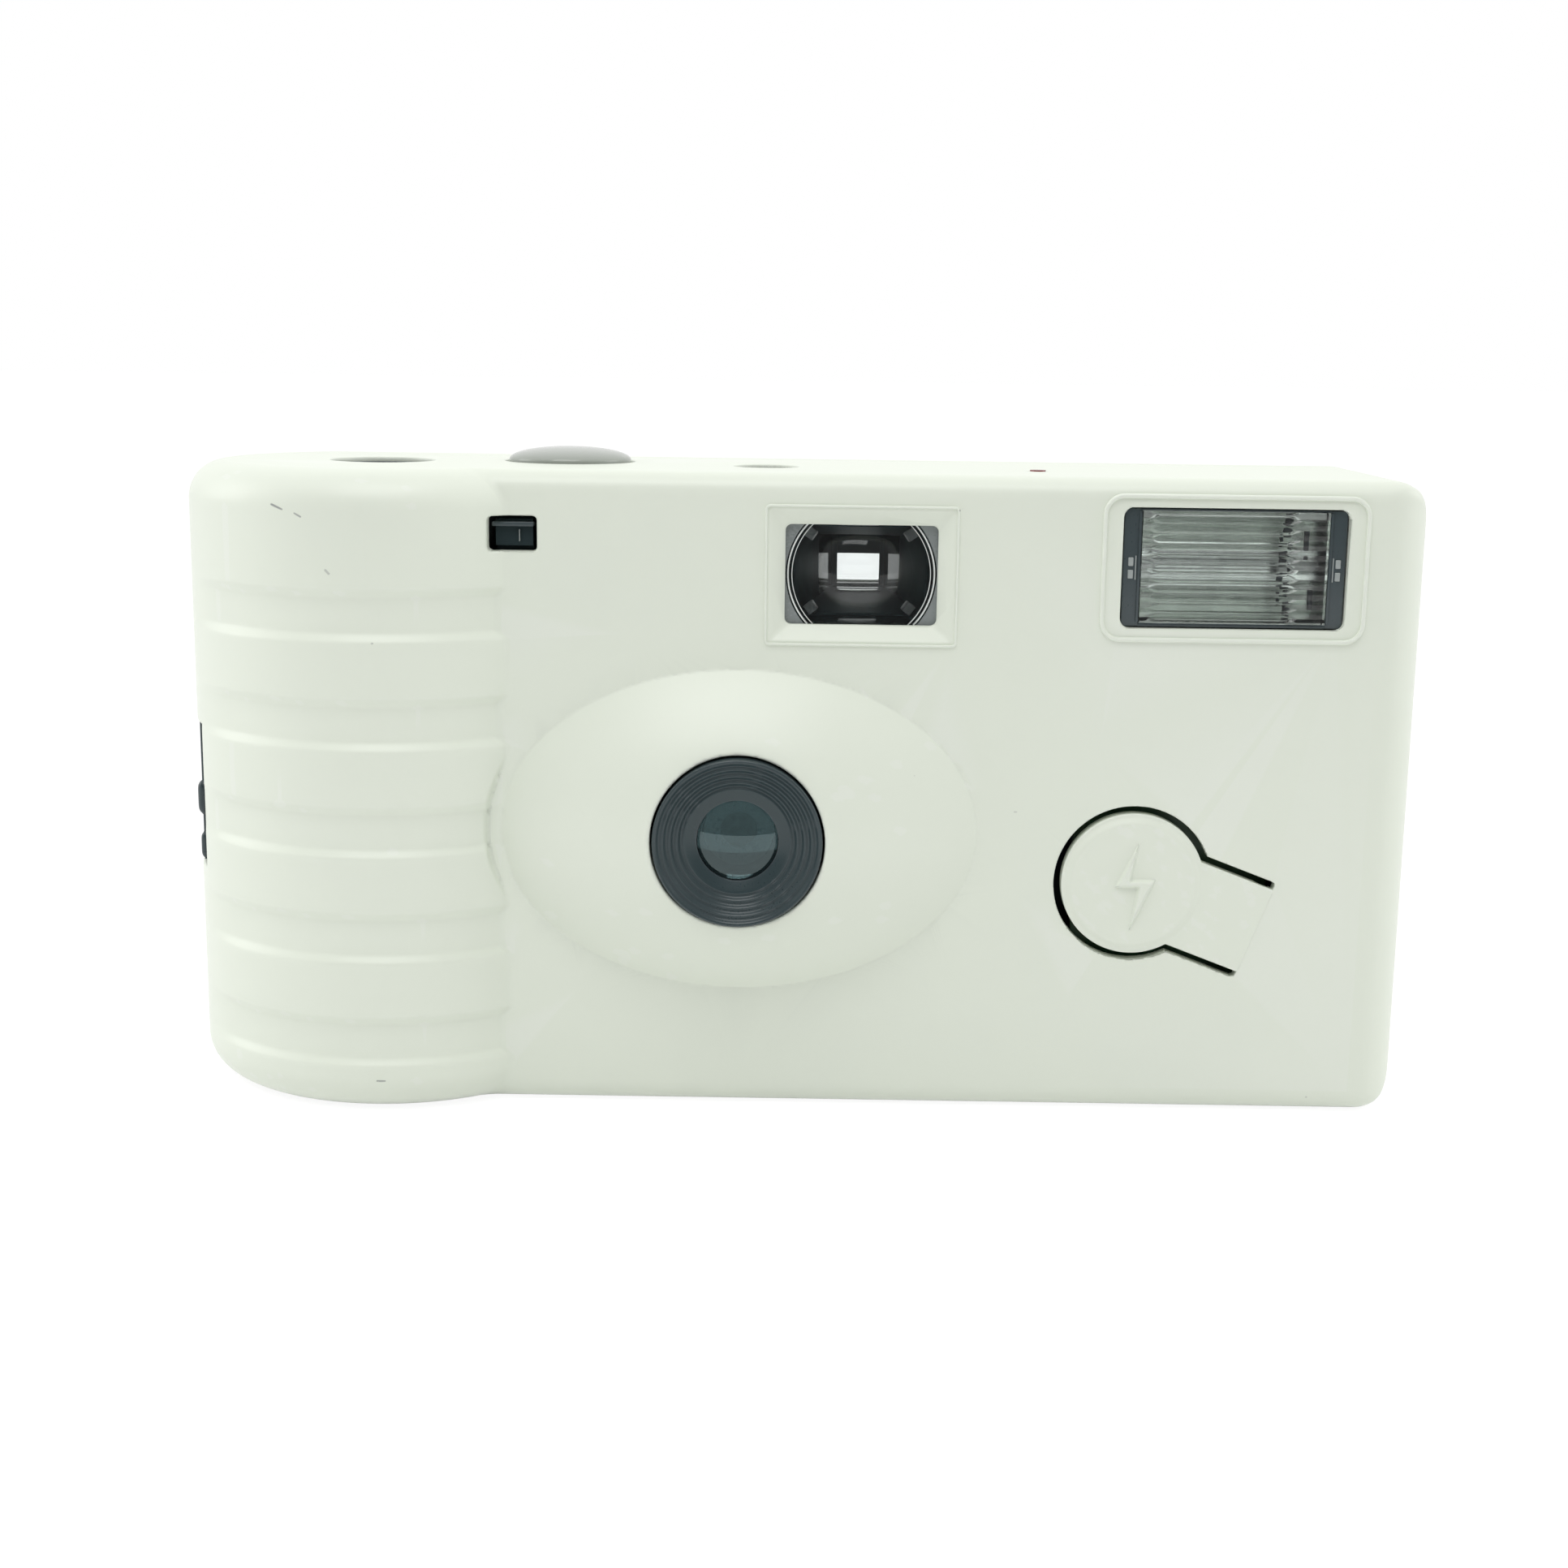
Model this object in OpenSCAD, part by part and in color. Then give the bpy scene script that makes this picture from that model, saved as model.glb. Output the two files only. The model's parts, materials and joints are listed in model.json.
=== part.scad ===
// Disposable film camera with a built-in flash, split into its separate pieces.
// The front faces -Y, +X is to the viewer's right and the base stands on Z = 0. Sizes are in millimetres.

/* [Body] */
// Width over both covers
body_w = 117; // [116:0.5:124]
// Height from the base to the top face
body_h = 60; // [59.5:0.5:66]
// Distance from the flat front panel to the back face
body_d = 28.6; // [28.2:0.2:34]
// Corner radius seen from the front
corner_r = 4; // [3:0.5:5]
// Rounding of the front and back edges
edge_r = 2.2; // [1.8:0.1:3]
// Rounding of the right front edge seen from above
side_r = 5; // [4:0.5:5.5]
// Wall thickness of both covers
wall = 1.5; // [1.2:0.1:1.7]
// Depth of the back cover behind the seam
back_depth = 4.5; // [4:0.1:4.8]
// Clearance between neighbouring pieces
fit_gap = 0.3; // [0.2:0.05:0.35]

/* [Grip] */
// Radius of the barrel-shaped grip
grip_r = 19.5; // [18.8:0.1:21]
// How far the grip stands in front of the panel
grip_proud = 4.5; // [3.5:0.1:5]
// Rounding of the top and bottom edges of the grip
grip_edge_r = 3.6; // [2.5:0.1:3.8]
// Number of finger grooves
groove_count = 5; // [3:1:5]
// Distance between finger grooves
groove_pitch = 10; // [9:0.1:10.5]
// Height of one finger groove
groove_h = 4; // [3:0.1:5]
// Depth of one finger groove
groove_depth = 0.5; // [0.3:0.05:0.8]

/* [Lens] */
// Height of the lens axis
lens_z = 26.8; // [26.2:0.1:27]
// Width of the oval dome around the lens
dome_w = 44.2; // [40:0.2:46]
// Height of the oval dome around the lens
dome_h = 30.2; // [28:0.2:32]
// How far the lens ring stands in front of the panel
ring_proud = 5.6; // [5:0.1:6.5]
// Outer diameter of the lens ring
ring_d = 15.7; // [14.5:0.1:17]
// Diameter of the taking lens
lens_d = 10; // [9:0.1:10.4]
// Diameter of the fixed aperture
aperture_d = 3.4; // [2.6:0.1:4]

/* [Film] */
// Width of the film strip
film_w = 35; // [34.8:0.05:35.2]
// Width of one picture
frame_w = 36; // [35:0.2:36.4]
// Height of one picture
frame_h = 24; // [23:0.2:24.6]
// Diameter of the film cassette
cassette_d = 25; // [24.6:0.1:25.2]
// Radius of the wound film on the supply side
roll_r = 8.6; // [7.6:0.1:8.8]
// Spacing of the film perforations
perf_pitch = 4.75; // [4.7:0.01:4.8]

/* [Viewfinder] */
// Width of the viewfinder window
finder_w = 14; // [12:0.1:14.6]
// Height of the viewfinder window
finder_h = 9.2; // [8:0.1:9.4]
// Width of the sloping frame around the window
finder_bevel = 1.65; // [1:0.05:2]

/* [Flash] */
// Width of the flash window
flash_w = 20; // [17:0.1:20.6]
// Height of the flash window
flash_h = 11; // [9:0.1:11.2]
// Number of prism ribs on the flash window
rib_count = 9; // [6:1:12]
// Radius of the flash button disc
tongue_r = 6.7; // [6:0.1:7]
// Width of the slot around the flash button
tongue_slot = 0.6; // [0.5:0.05:0.8]
// Distance from the disc centre to the root of the flash button
tongue_len = 12.5; // [11.5:0.1:13]

/* [Controls] */
// How far the winding wheel stands out of the back
wheel_proud = 1; // [0.6:0.1:1.2]
// Number of teeth on the winding wheel
wheel_teeth = 60; // [40:1:72]
// Diameter of the shutter button
button_d = 12.4; // [11:0.2:12.8]
// How far the shutter button stands above the top
button_proud = 1.4; // [0.8:0.1:2]
// Diameter of the counter window
counter_d = 6.2; // [5:0.1:6.6]

/* [Hidden] */
$fn = 64;

// Outer planes
x_left = -body_w / 2;
x_right = body_w / 2;
y_front = -(ring_proud + body_d + wheel_proud) / 2;
y_panel = y_front + ring_proud;
y_back = y_panel + body_d;
y_seam = y_back - back_depth;
in_front = y_panel + wall;
in_back = y_back - wall;
in_right = x_right - wall;
in_top = body_h - wall;
in_edge = min(edge_r - wall, 0.7);

// Grip barrel
grip_x = x_left + grip_r;
grip_y = y_panel - grip_proud + grip_r;
block_left = grip_x - 1;
groove_mid_z = body_h / 2 - 3;

// Film cassette, winding wheel and their common axis
cassette_r = cassette_d / 2;
chamber_in = cassette_r + 0.5;
chamber_out = chamber_in + 1.2;
cassette_y = in_back - fit_gap - cassette_r;
wheel_r = y_back + wheel_proud - cassette_y;
cassette_x = x_left + wall + wheel_r + 1.7;

// Lens axis and film gate
lens_x = cassette_x + cassette_r + 4.7 + frame_w / 2;
film_back = in_back - 1.2;
film_t = 0.15;
film_front = film_back - film_t;
rail_y = film_front - film_t;
film_z0 = lens_z - film_w / 2;
film_z1 = lens_z + film_w / 2;
deck_z = film_z1 + 0.7;
deck_t = 1.4;
deck_top = deck_z + deck_t;
frame_z0 = wall + 0.4;
shelf_z = frame_z0 + 1.3;

// Lens stack from front to back
plate_y0 = in_front + fit_gap;
plate_t = 1.2;
blade_y0 = plate_y0 + plate_t + 0.5;
blade_t = 0.4;
board_y0 = blade_y0 + blade_t + 0.5;
board_t = 1.4;
lens_seat_y = y_panel - 1.1;

// Cassette heights
can_z0 = film_z0 - 4;
can_z1 = film_z1 + 4;
cap_t = 0.9;
spool_z0 = can_z0 - cap_t - 0.6;
spool_z1 = can_z1 + cap_t + 0.6;
roof_z = spool_z1 + 0.5;
roof_t = 1;
wheel_z = roof_z + roof_t + 0.4;
wheel_t = 3.7;
hub_r = 4.8;

// Supply spool
case_in = 9.5;
case_out = 10.5;
supply_x = lens_x + frame_w / 2 + 2.6 + case_out;
supply_y = film_front - fit_gap - roll_r;
case_top = film_z1 + 4.7;

// Viewfinder
finder_x = lens_x + 11;
tunnel_wall = 0.8;
finder_z = deck_z + tunnel_wall + 0.4 + finder_h / 2;
tunnel_top = finder_z + finder_h / 2 + 0.5;
eye_w = 9;
eye_h = 6.6;
eye_curve = 20;
front_lens_r = min(finder_w / 2 - 0.1, 6.9);
front_lens_t = 3;
front_lens_curve = 11;

// Counter, sprocket and levers
counter_x = lens_x + 2;
counter_y = 0;
dial_r = 7;
dial_t = 1;
dial_z = in_top - 1.1 - dial_t;
dial_x = counter_x - 4.8;
dial_y = counter_y - 1.9;
sprocket_r = 6.2;
sprocket_x = lens_x - 6.2;
sprocket_y = film_front - fit_gap - sprocket_r;
kick_x = lens_x - 10.1;
kick_y = board_y0 + 9.2;
kick_len = 10.2;
kick_z = deck_top + 0.4;
lever_t = 1.4;
pivot_x = lens_x - 10.2;
pivot_y = kick_y + 4.4;
pivot_z = deck_top + 3.7;
button_x = lens_x - 17.3;
button_y = kick_y + 3.4;
stem_x = pivot_x - 4.5;
stem_y = pivot_y;
coil_r = 1.75;
bridge_z = pivot_z + 2.2;
bridge_t = 0.8;
blade_px = lens_x - 8;
blade_pz = lens_z + 10;

// Flash unit
flash_x = x_right - 18.3;
flash_z = body_h - 8.1;
tongue_x = supply_x + 5.9;
tongue_z = lens_z - 4.5;
tongue_turn = 20.7;
tongue_half = 4.25;
bend_r = 0.7;
bend_x = tongue_len - 1;
tube_y = in_front + 4.5;
tube_r = 1.4;
cap_r = 4.4;
cap_len = 30;
cap_x = in_right - 1.3 - cap_r;
cap_y = in_front + fit_gap + cap_r;
pcb_y0 = in_front + 2.7;
pcb_t = 1.2;
pcb_x0 = tongue_x - 5.2;
pcb_x1 = cap_x - cap_r - 1.3;
screw_x = pcb_x0 + 2.5;
screw_z0 = shelf_z + 5.8;
screw_z1 = deck_z - 6;
coil_w = 6.6;
coil_d = 4;
coil_h = 10;
cell_r = 5.25;
cell_x = in_right - 1.5 - cell_r;
cell_y = in_back - 2.3 - cell_r;
cell_z = 6.4;
cell_len = 44.5;
lamp_x = supply_x - 3.3;
lamp_y = counter_y - 2;

// Hook that holds the front cover
hook_x = lens_x - 20.8;
hook_z = body_h - 5.7;
hook_w = 4.2;
hook_h = 3;

// Strap recess in the side of the grip
strap_turn = -163;
strap_z = lens_z + 1.2;
strap_h = 14;
strap_w = 6;

// Flap under the cassette
door_r = chamber_in + 0.1;
door_hinge_y = y_seam - 1.1;
door_hinge_z = 0.85;
door_t = wall - 0.2;
door_lean = 1.4;

// Box between two corners
module box(x0, x1, y0, y1, z0, z1) {
  translate([x0, y0, z0]) cube([x1 - x0, y1 - y0, z1 - z0]);
}

// Upright cylinder at a place
module post(x, y, z0, z1, r) {
  translate([x, y, z0]) cylinder(r = r, h = z1 - z0);
}

// Cylinder lying along Y
module rod_y(x, y0, y1, z, r) {
  translate([x, y0, z]) rotate([-90, 0, 0]) cylinder(r = r, h = y1 - y0);
}

// Cylinder lying along X
module rod_x(x0, x1, y, z, r) {
  translate([x0, y, z]) rotate([0, 90, 0]) cylinder(r = r, h = x1 - x0);
}

// Flat shape drawn in X and Z, standing from y0 to y1
module upright(x, z, y0, y1) {
  translate([x, y1, z]) rotate([90, 0, 0]) linear_extrude(height = y1 - y0) children();
}

// Rectangle with round corners
module round_rect(w, h, r) {
  square([w - 2 * r, h], center = true);
  square([w, h - 2 * r], center = true);
  for (sx = [-1, 1], sz = [-1, 1]) translate([sx * (w / 2 - r), sz * (h / 2 - r)]) circle(r = r);
}

// Points of a quarter arc
function arc(cx, cy, r, a0, a1, n) =
  [for (i = [0 : n]) let (a = a0 + (a1 - a0) * i / n) [cx + r * cos(a), cy + r * sin(a)]];

// Disc along Y whose front rim is rounded
module puck(r, e, d) {
  rotate([-90, 0, 0]) rotate_extrude($fn = 48)
    polygon(concat([[0, 0]], arc(r - e, e, e, -90, 0, 6), [[r, d], [0, d]]));
}

// Body block with round corners and a rounded front edge, open to further cuts at its flat rear
module block(x0, x1, y0, y1, z0, z1, r, e) {
  hull() for (x = [x0 + r, x1 - r], z = [z0 + r, z1 - r]) translate([x, y0, z]) puck(r, e, y1 - y0);
}

// Space behind a right front edge that is round when seen from above
module behind_side(x1, y0, r) {
  box(x_left, x1 - r, y0 - 1, y_back, -1, body_h + 1);
  box(x_left, x1 + 1, y0 + r, y_back, -1, body_h + 1);
  post(x1 - r, y0 + r, -1, body_h + 1, r);
}

// Barrel of the grip with rounded ends
module barrel(r, z0, z1, e) {
  translate([grip_x, grip_y, 0]) rotate_extrude()
    difference() {
      translate([0, z0]) square([r, z1 - z0]);
      for (s = [0, 1]) translate([r - e, s == 0 ? z0 + e : z1 - e]) difference() {
        translate([0, s == 0 ? -2 * e : 0]) square([2 * e, 2 * e]);
        circle(r = e);
      }
    }
}

// Shallow finger groove that ends round on the outer side of the grip
module groove(z) {
  a0 = -138;
  a1 = -44;
  translate([grip_x, grip_y, z]) difference() {
    union() {
      rotate([0, 0, a0]) rotate_extrude(angle = a1 - a0) translate([grip_r - 3, -groove_h / 2])
        square([6, groove_h]);
      rotate([0, 0, a0]) rotate([0, 90, 0]) translate([0, 0, grip_r - 3]) cylinder(d = groove_h, h = 6);
    }
    translate([0, 0, -groove_h]) cylinder(r = grip_r - groove_depth, h = 2 * groove_h);
  }
}

// Oval outline around the lens
function oval(a, b, n) = [for (i = [0 : n - 1]) [a * cos(360 * i / n), b * sin(360 * i / n)]];

// Oval dome that rises from the panel towards the lens
module dome(a, b, rise, y_base, sink, n, rings) {
  function lift(t) = rise * (1 - pow(t, 2.2));
  ts = [for (j = [0 : rings - 1]) 1 - 0.82 * j / (rings - 1)];
  pts = concat(
    [for (i = [0 : n - 1]) [a * cos(360 * i / n), y_base + sink, b * sin(360 * i / n)]],
    [for (t = ts) for (i = [0 : n - 1])
      [a * t * cos(360 * i / n), y_base - lift(t), b * t * sin(360 * i / n)]]);
  sides = [for (j = [0 : rings - 1]) for (i = [0 : n - 1])
    [j * n + i, j * n + (i + 1) % n, (j + 1) * n + (i + 1) % n, (j + 1) * n + i]];
  tris = [for (q = sides) each [[q[0], q[2], q[1]], [q[0], q[3], q[2]]]];
  translate([lens_x, 0, lens_z])
    polyhedron(points = pts, faces = concat(tris,
      [[for (i = [0 : n - 1]) i]], [[for (i = [0 : n - 1]) rings * n + n - 1 - i]]));
}

// Outline of the flash button: a disc with a straight tail
module tongue_shape(r, half) {
  circle(r = r);
  translate([0, -half]) square([tongue_len, 2 * half]);
}

// Slanted opening that narrows towards the viewfinder
module finder_slope() {
  w1 = finder_w + 2 * finder_bevel;
  h1 = finder_h + 2 * finder_bevel;
  hull() {
    translate([finder_x - w1 / 2, y_panel - 1, finder_z - h1 / 2]) cube([w1, 1, h1]);
    translate([finder_x - finder_w / 2, in_front - 0.2, finder_z - finder_h / 2])
      cube([finder_w, 1, finder_h]);
  }
}

// Recess for the strap, measured outwards along the grip radius
module at_strap() {
  translate([grip_x, grip_y, strap_z]) rotate([0, 0, strap_turn]) children();
}

// Space of the flap under the cassette
module door_space(r, y1) {
  intersection() {
    post(cassette_x, cassette_y, -1, wall + 1, r);
    box(x_left, x_right, cassette_y - 20, y1, -2, wall + 2);
  }
}

module front_cover() {
  color("white") difference() {
    union() {
      intersection() {
        block(block_left, x_right, y_panel, y_seam, 0, body_h, corner_r, edge_r);
        behind_side(x_right, y_panel, side_r);
      }
      difference() {
        intersection() {
          barrel(grip_r, 0, body_h, grip_edge_r);
          box(x_left - 5, x_right, y_panel - 20, y_seam, -1, body_h + 1);
        }
        for (i = [0 : groove_count - 1]) groove(groove_mid_z + (i - (groove_count - 1) / 2) * groove_pitch);
        translate([lens_x, y_panel, lens_z]) rotate([90, 0, 0]) linear_extrude(height = 20)
          polygon(oval(dome_w / 2 + 1.2, dome_h / 2 + 1.2, 72));
      }
      dome(dome_w / 2, dome_h / 2, ring_proud + 0.6, y_panel, wall / 2, 60, 7);
      upright(flash_x, flash_z, y_panel - 0.3, y_panel + 0.5) difference() {
        round_rect(flash_w + 3.8, flash_h + 2.3, 1.8);
        round_rect(flash_w + 2.6, flash_h + 1.1, 1.3);
      }
    }
    intersection() {
      block(block_left + 2, in_right, in_front, y_seam + 1, wall, in_top, corner_r - wall, in_edge);
      behind_side(in_right, in_front, side_r - wall);
    }
    intersection() {
      barrel(grip_r - wall, wall, in_top, grip_edge_r - wall);
      box(x_left - 5, x_right, y_panel - 20, y_seam + 1, -1, body_h + 1);
    }
    dome(dome_w / 2 - 3, dome_h / 2 - 3, ring_proud - 1.6, y_panel, wall + 1, 48, 5);
    rod_y(lens_x, y_front - 2, in_front + 1, lens_z, ring_d / 2 + 0.15);
    finder_slope();
    upright(flash_x, flash_z, y_panel - 1, in_front + 1) round_rect(flash_w, flash_h, 1);
    upright(tongue_x, tongue_z, y_panel - 1, in_front + 1) rotate(-tongue_turn)
      tongue_shape(tongue_r + tongue_slot, tongue_half + tongue_slot);
    box(hook_x - hook_w / 2, hook_x + hook_w / 2, y_panel - 4, in_front + 1,
      hook_z - hook_h / 2, hook_z + hook_h / 2);
    post(button_x, button_y, in_top - 1, body_h + 1, button_d / 2 + 0.1);
    post(cassette_x, cassette_y, in_top - 1, body_h + 1, hub_r + 0.2);
    post(counter_x, counter_y, in_top - 1, body_h + 1, counter_d / 2);
    post(lamp_x, lamp_y, in_top - 1, body_h + 1, 0.9);
    at_strap() box(grip_r - wall - 1.5, grip_r + 2, -strap_w / 2, strap_w / 2, -strap_h / 2, strap_h / 2);
    door_space(door_r + fit_gap, y_seam + 1);
  }
}

module back_cover() {
  color("white") difference() {
    union() {
      translate([0, y_back + y_seam, 0]) mirror([0, 1, 0])
        block(block_left, x_right, y_seam, y_back, 0, body_h, corner_r, edge_r);
      intersection() {
        barrel(grip_r, 0, body_h, grip_edge_r);
        box(x_left - 5, x_right, y_seam, y_back, -1, body_h + 1);
      }
    }
    translate([0, 2 * in_back, 0]) mirror([0, 1, 0])
      block(block_left + 2, in_right, in_back, in_back + back_depth, wall, in_top,
        corner_r - wall, in_edge);
    intersection() {
      barrel(grip_r - wall, wall, in_top, grip_edge_r - wall);
      box(x_left - 5, x_right, y_seam - 1, in_back, -1, body_h + 1);
    }
    box(finder_x - eye_w / 2, finder_x + eye_w / 2, in_back - 1, y_back + 1,
      finder_z - eye_h / 2, finder_z + eye_h / 2);
    box(cassette_x - 9, cassette_x + 9, in_back - 1, y_back + 2, wheel_z - 0.5, wheel_z + wheel_t + 0.5);
  }
  color("white") for (z = [film_z0 + 1.4, film_z1 - 2.6])
    box(lens_x - 16, lens_x + 16, film_back + 0.2, in_back, z, z + 1.2);
}

module flash_button() {
  bolt = [[0.46, 4.2], [-1.75, -0.3], [0.35, -0.3], [-0.3, -4.7], [2.1, 0.5], [-0.2, 0.5]];
  color("white") {
    difference() {
      upright(tongue_x, tongue_z, y_panel, in_front) rotate(-tongue_turn)
        tongue_shape(tongue_r, tongue_half);
      translate([tongue_x, in_front, tongue_z]) rotate([0, tongue_turn, 0])
        translate([bend_x, 0, -tongue_half - 1]) cylinder(r = bend_r, h = 2 * tongue_half + 2);
    }
    upright(tongue_x, tongue_z, y_panel - 0.3, y_panel) circle(r = tongue_r - 0.3);
    upright(tongue_x, tongue_z, y_panel - 0.6, y_panel - 0.3) polygon(bolt);
  }
}

module shutter_button() {
  cap_r1 = button_d / 2;
  rise = button_proud;
  ball_r = (cap_r1 * cap_r1 + rise * rise) / (2 * rise);
  color("silver") {
    post(button_x, button_y, in_top - 0.3, body_h, cap_r1);
    intersection() {
      post(button_x, button_y, body_h - 0.2, body_h + rise + 1, cap_r1);
      translate([button_x, button_y, body_h + rise - ball_r]) sphere(r = ball_r, $fn = 96);
    }
    post(button_x, button_y, in_top - 1.1, in_top - 0.3, cap_r1 + 0.6);
    post(stem_x, stem_y, pivot_z + 1.1, in_top - 1, 1);
  }
}

module lens_ring() {
  r = ring_d / 2;
  color("black") translate([lens_x, 0, lens_z]) rotate([-90, 0, 0]) rotate_extrude() polygon([
    [r, plate_y0], [r, y_front + 0.3], [r - 0.3, y_front], [r - 0.7, y_front],
    [r - 0.8, y_front + 0.5], [r - 1.2, y_front + 0.3], [r - 1.3, y_front + 0.9],
    [r - 1.7, y_front + 0.7], [r - 1.8, y_front + 1.3], [r - 2.2, y_front + 1.1],
    [r - 2.5, y_front + 1.7], [lens_d / 2 - 1.1, lens_seat_y - 0.9], [lens_d / 2 - 1.1, lens_seat_y],
    [lens_d / 2 + 0.1, lens_seat_y], [lens_d / 2 + 0.1, plate_y0]]);
}

module taking_lens() {
  r = lens_d / 2;
  bulge = 0.8;
  rc = (pow(r - 1.1, 2) + bulge * bulge) / (2 * bulge);
  color("lightblue") translate([lens_x, 0, lens_z]) rotate([-90, 0, 0]) {
    translate([0, 0, lens_seat_y]) cylinder(r = r, h = plate_y0 - lens_seat_y);
    intersection() {
      translate([0, 0, lens_seat_y - bulge]) cylinder(r = r - 1.25, h = bulge + 0.5);
      translate([0, 0, lens_seat_y - bulge + rc]) sphere(r = rc, $fn = 96);
    }
  }
}

module shutter_plate() {
  color("black") difference() {
    union() {
      rod_y(lens_x, plate_y0, plate_y0 + plate_t, lens_z, 9);
      for (q = [[6.8, 3], [4.5, -6.2], [1.5, 7.6]])
        rod_y(lens_x + q[0], plate_y0, board_y0, lens_z + q[1], 1);
    }
    rod_y(lens_x, plate_y0 - 1, plate_y0 + plate_t + 1, lens_z, aperture_d / 2);
  }
}

module shutter_blade() {
  color("silver") difference() {
    union() {
      rod_y(lens_x, blade_y0, blade_y0 + blade_t, lens_z, 3.2);
      upright(0, 0, blade_y0, blade_y0 + blade_t) polygon([[lens_x - 1.6, lens_z], [lens_x + 1.6, lens_z],
        [blade_px + 1.4, blade_pz + 0.6], [blade_px - 1.4, blade_pz - 0.6]]);
      rod_y(blade_px, blade_y0, blade_y0 + blade_t, blade_pz, 1.9);
      box(blade_px - 0.9, blade_px + 0.9, blade_y0, blade_y0 + blade_t, blade_pz, kick_z + lever_t + 0.2);
    }
    rod_y(blade_px, blade_y0 - 1, blade_y0 + blade_t + 1, blade_pz, 0.88);
  }
}

module kick_lever() {
  color("dimgray") difference() {
    union() {
      post(kick_x, kick_y, kick_z, kick_z + lever_t, 2.2);
      box(kick_x - 0.8, kick_x + 0.8, kick_y - kick_len, kick_y + 4.2, kick_z, kick_z + lever_t);
    }
    post(kick_x, kick_y, kick_z - 1, kick_z + lever_t + 1, 1.28);
  }
}

// Wire wound in a helix, closed at both ends
module coil(r, wire, turns, height) {
  n = 16;
  m = 6;
  steps = turns * n;
  pts = [for (i = [0 : steps]) for (j = [0 : m - 1])
    let (a = 360 * i / n, b = 360 * j / m, q = r + wire * cos(b))
    [q * cos(a), q * sin(a), wire + (height - 2 * wire) * i / steps + wire * sin(b)]];
  tris = [for (i = [0 : steps - 1]) for (j = [0 : m - 1])
    let (p = i * m + j, q = i * m + (j + 1) % m) each [[p, q, q + m], [p, q + m, p + m]]];
  polyhedron(points = pts, faces = concat(tris, [[for (j = [0 : m - 1]) m - 1 - j]],
    [[for (j = [0 : m - 1]) steps * m + j]]));
}

module kick_spring() {
  color("silver") translate([kick_x, kick_y, kick_z + lever_t + 0.2]) coil(coil_r, 0.2, 2, 2);
}

module release_lever() {
  half = 1;
  color("dimgray") difference() {
    union() {
      rod_y(pivot_x, pivot_y - half, pivot_y + half, pivot_z, 1.7);
      box(stem_x - 1, pivot_x, pivot_y - half, pivot_y + half, pivot_z - 0.6, pivot_z + 0.6);
      box(pivot_x, pivot_x + 2.4, pivot_y - half, pivot_y + half, pivot_z - 0.6, pivot_z + 0.6);
      box(pivot_x + 1.2, pivot_x + 2.4, pivot_y - half, pivot_y + half, kick_z + lever_t + 0.3, pivot_z);
    }
    rod_y(pivot_x, pivot_y - 3, pivot_y + 3, pivot_z, 0.97);
  }
}

module button_spring() {
  z = bridge_z + bridge_t + 0.1;
  color("silver") translate([stem_x, stem_y, z]) coil(coil_r, 0.2, 4, in_top - 1.2 - z);
}

module finder_front_lens() {
  r = front_lens_r;
  color("lightblue") translate([finder_x, 0, finder_z]) difference() {
    intersection() {
      rotate([-90, 0, 0]) translate([0, 0, in_front + 0.4]) cylinder(r = r, h = front_lens_t);
      box(-r - 1, r + 1, in_front, in_front + front_lens_t + 3, -finder_h / 2 - 0.1, finder_h / 2 + 0.1);
    }
    translate([0, in_front + 0.9 + front_lens_curve, 0]) sphere(r = front_lens_curve, $fn = 96);
  }
}

module finder_tunnel() {
  w0 = finder_w + 0.6;
  h0 = finder_h + 0.6;
  y0 = in_front + 0.1;
  y1 = in_back - 2.4;
  y1_lens = y0 + front_lens_t + 0.5;
  color("black") difference() {
    hull() {
      box(finder_x - w0 / 2 - tunnel_wall, finder_x + w0 / 2 + tunnel_wall, y0, y1_lens + 1,
        deck_z, tunnel_top);
      box(finder_x - 6.3, finder_x + 6.3, y1 - 3, y1, deck_z, finder_z + 4.6);
    }
    hull() {
      box(finder_x - w0 / 2, finder_x + w0 / 2, y0 - 1, y1_lens,
        finder_z - h0 / 2, finder_z + h0 / 2 - 0.2);
      box(finder_x - 5.3, finder_x + 5.3, y1 - 2, y1 + 1, finder_z - 3.9, finder_z + 3.9);
    }
  }
}

module finder_eyepiece() {
  y0 = in_back - 2.2;
  color("lightblue") {
    box(finder_x - eye_w / 2 - 0.8, finder_x + eye_w / 2 + 0.8, y0, in_back,
      finder_z - eye_h / 2 - 0.7, finder_z + eye_h / 2 + 0.7);
    intersection() {
      box(finder_x - eye_w / 2 + 0.15, finder_x + eye_w / 2 - 0.15, in_back - 0.5, y_back - 0.1,
        finder_z - eye_h / 2 + 0.15, finder_z + eye_h / 2 - 0.15);
      translate([finder_x, y_back - 0.2 - eye_curve, finder_z]) sphere(r = eye_curve, $fn = 96);
    }
  }
}

module flash_lens() {
  rib = flash_h / (rib_count + 2);
  rw = flash_w * 0.84;
  color("aliceblue") {
    upright(flash_x, flash_z, y_panel + 0.3, in_front + 0.2) round_rect(flash_w - 0.3, flash_h - 0.3, 0.9);
    upright(flash_x, flash_z, in_front, in_front + 1) round_rect(flash_w + 2, flash_h + 0.6, 1.2);
    for (i = [0 : rib_count - 1])
      translate([flash_x, y_panel + 0.3, flash_z + (i - (rib_count - 1) / 2) * rib])
      rotate([0, 90, 0]) rotate([0, 0, 45]) cube([rib * 0.5, rib * 0.5, rw], center = true);
  }
}

// Half section of the reflector trough
function trough(r0, r1, d, n) = [for (i = [0 : n]) let (t = i / n) [d * (1 - t * t), r0 + (r1 - r0) * t]];

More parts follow.
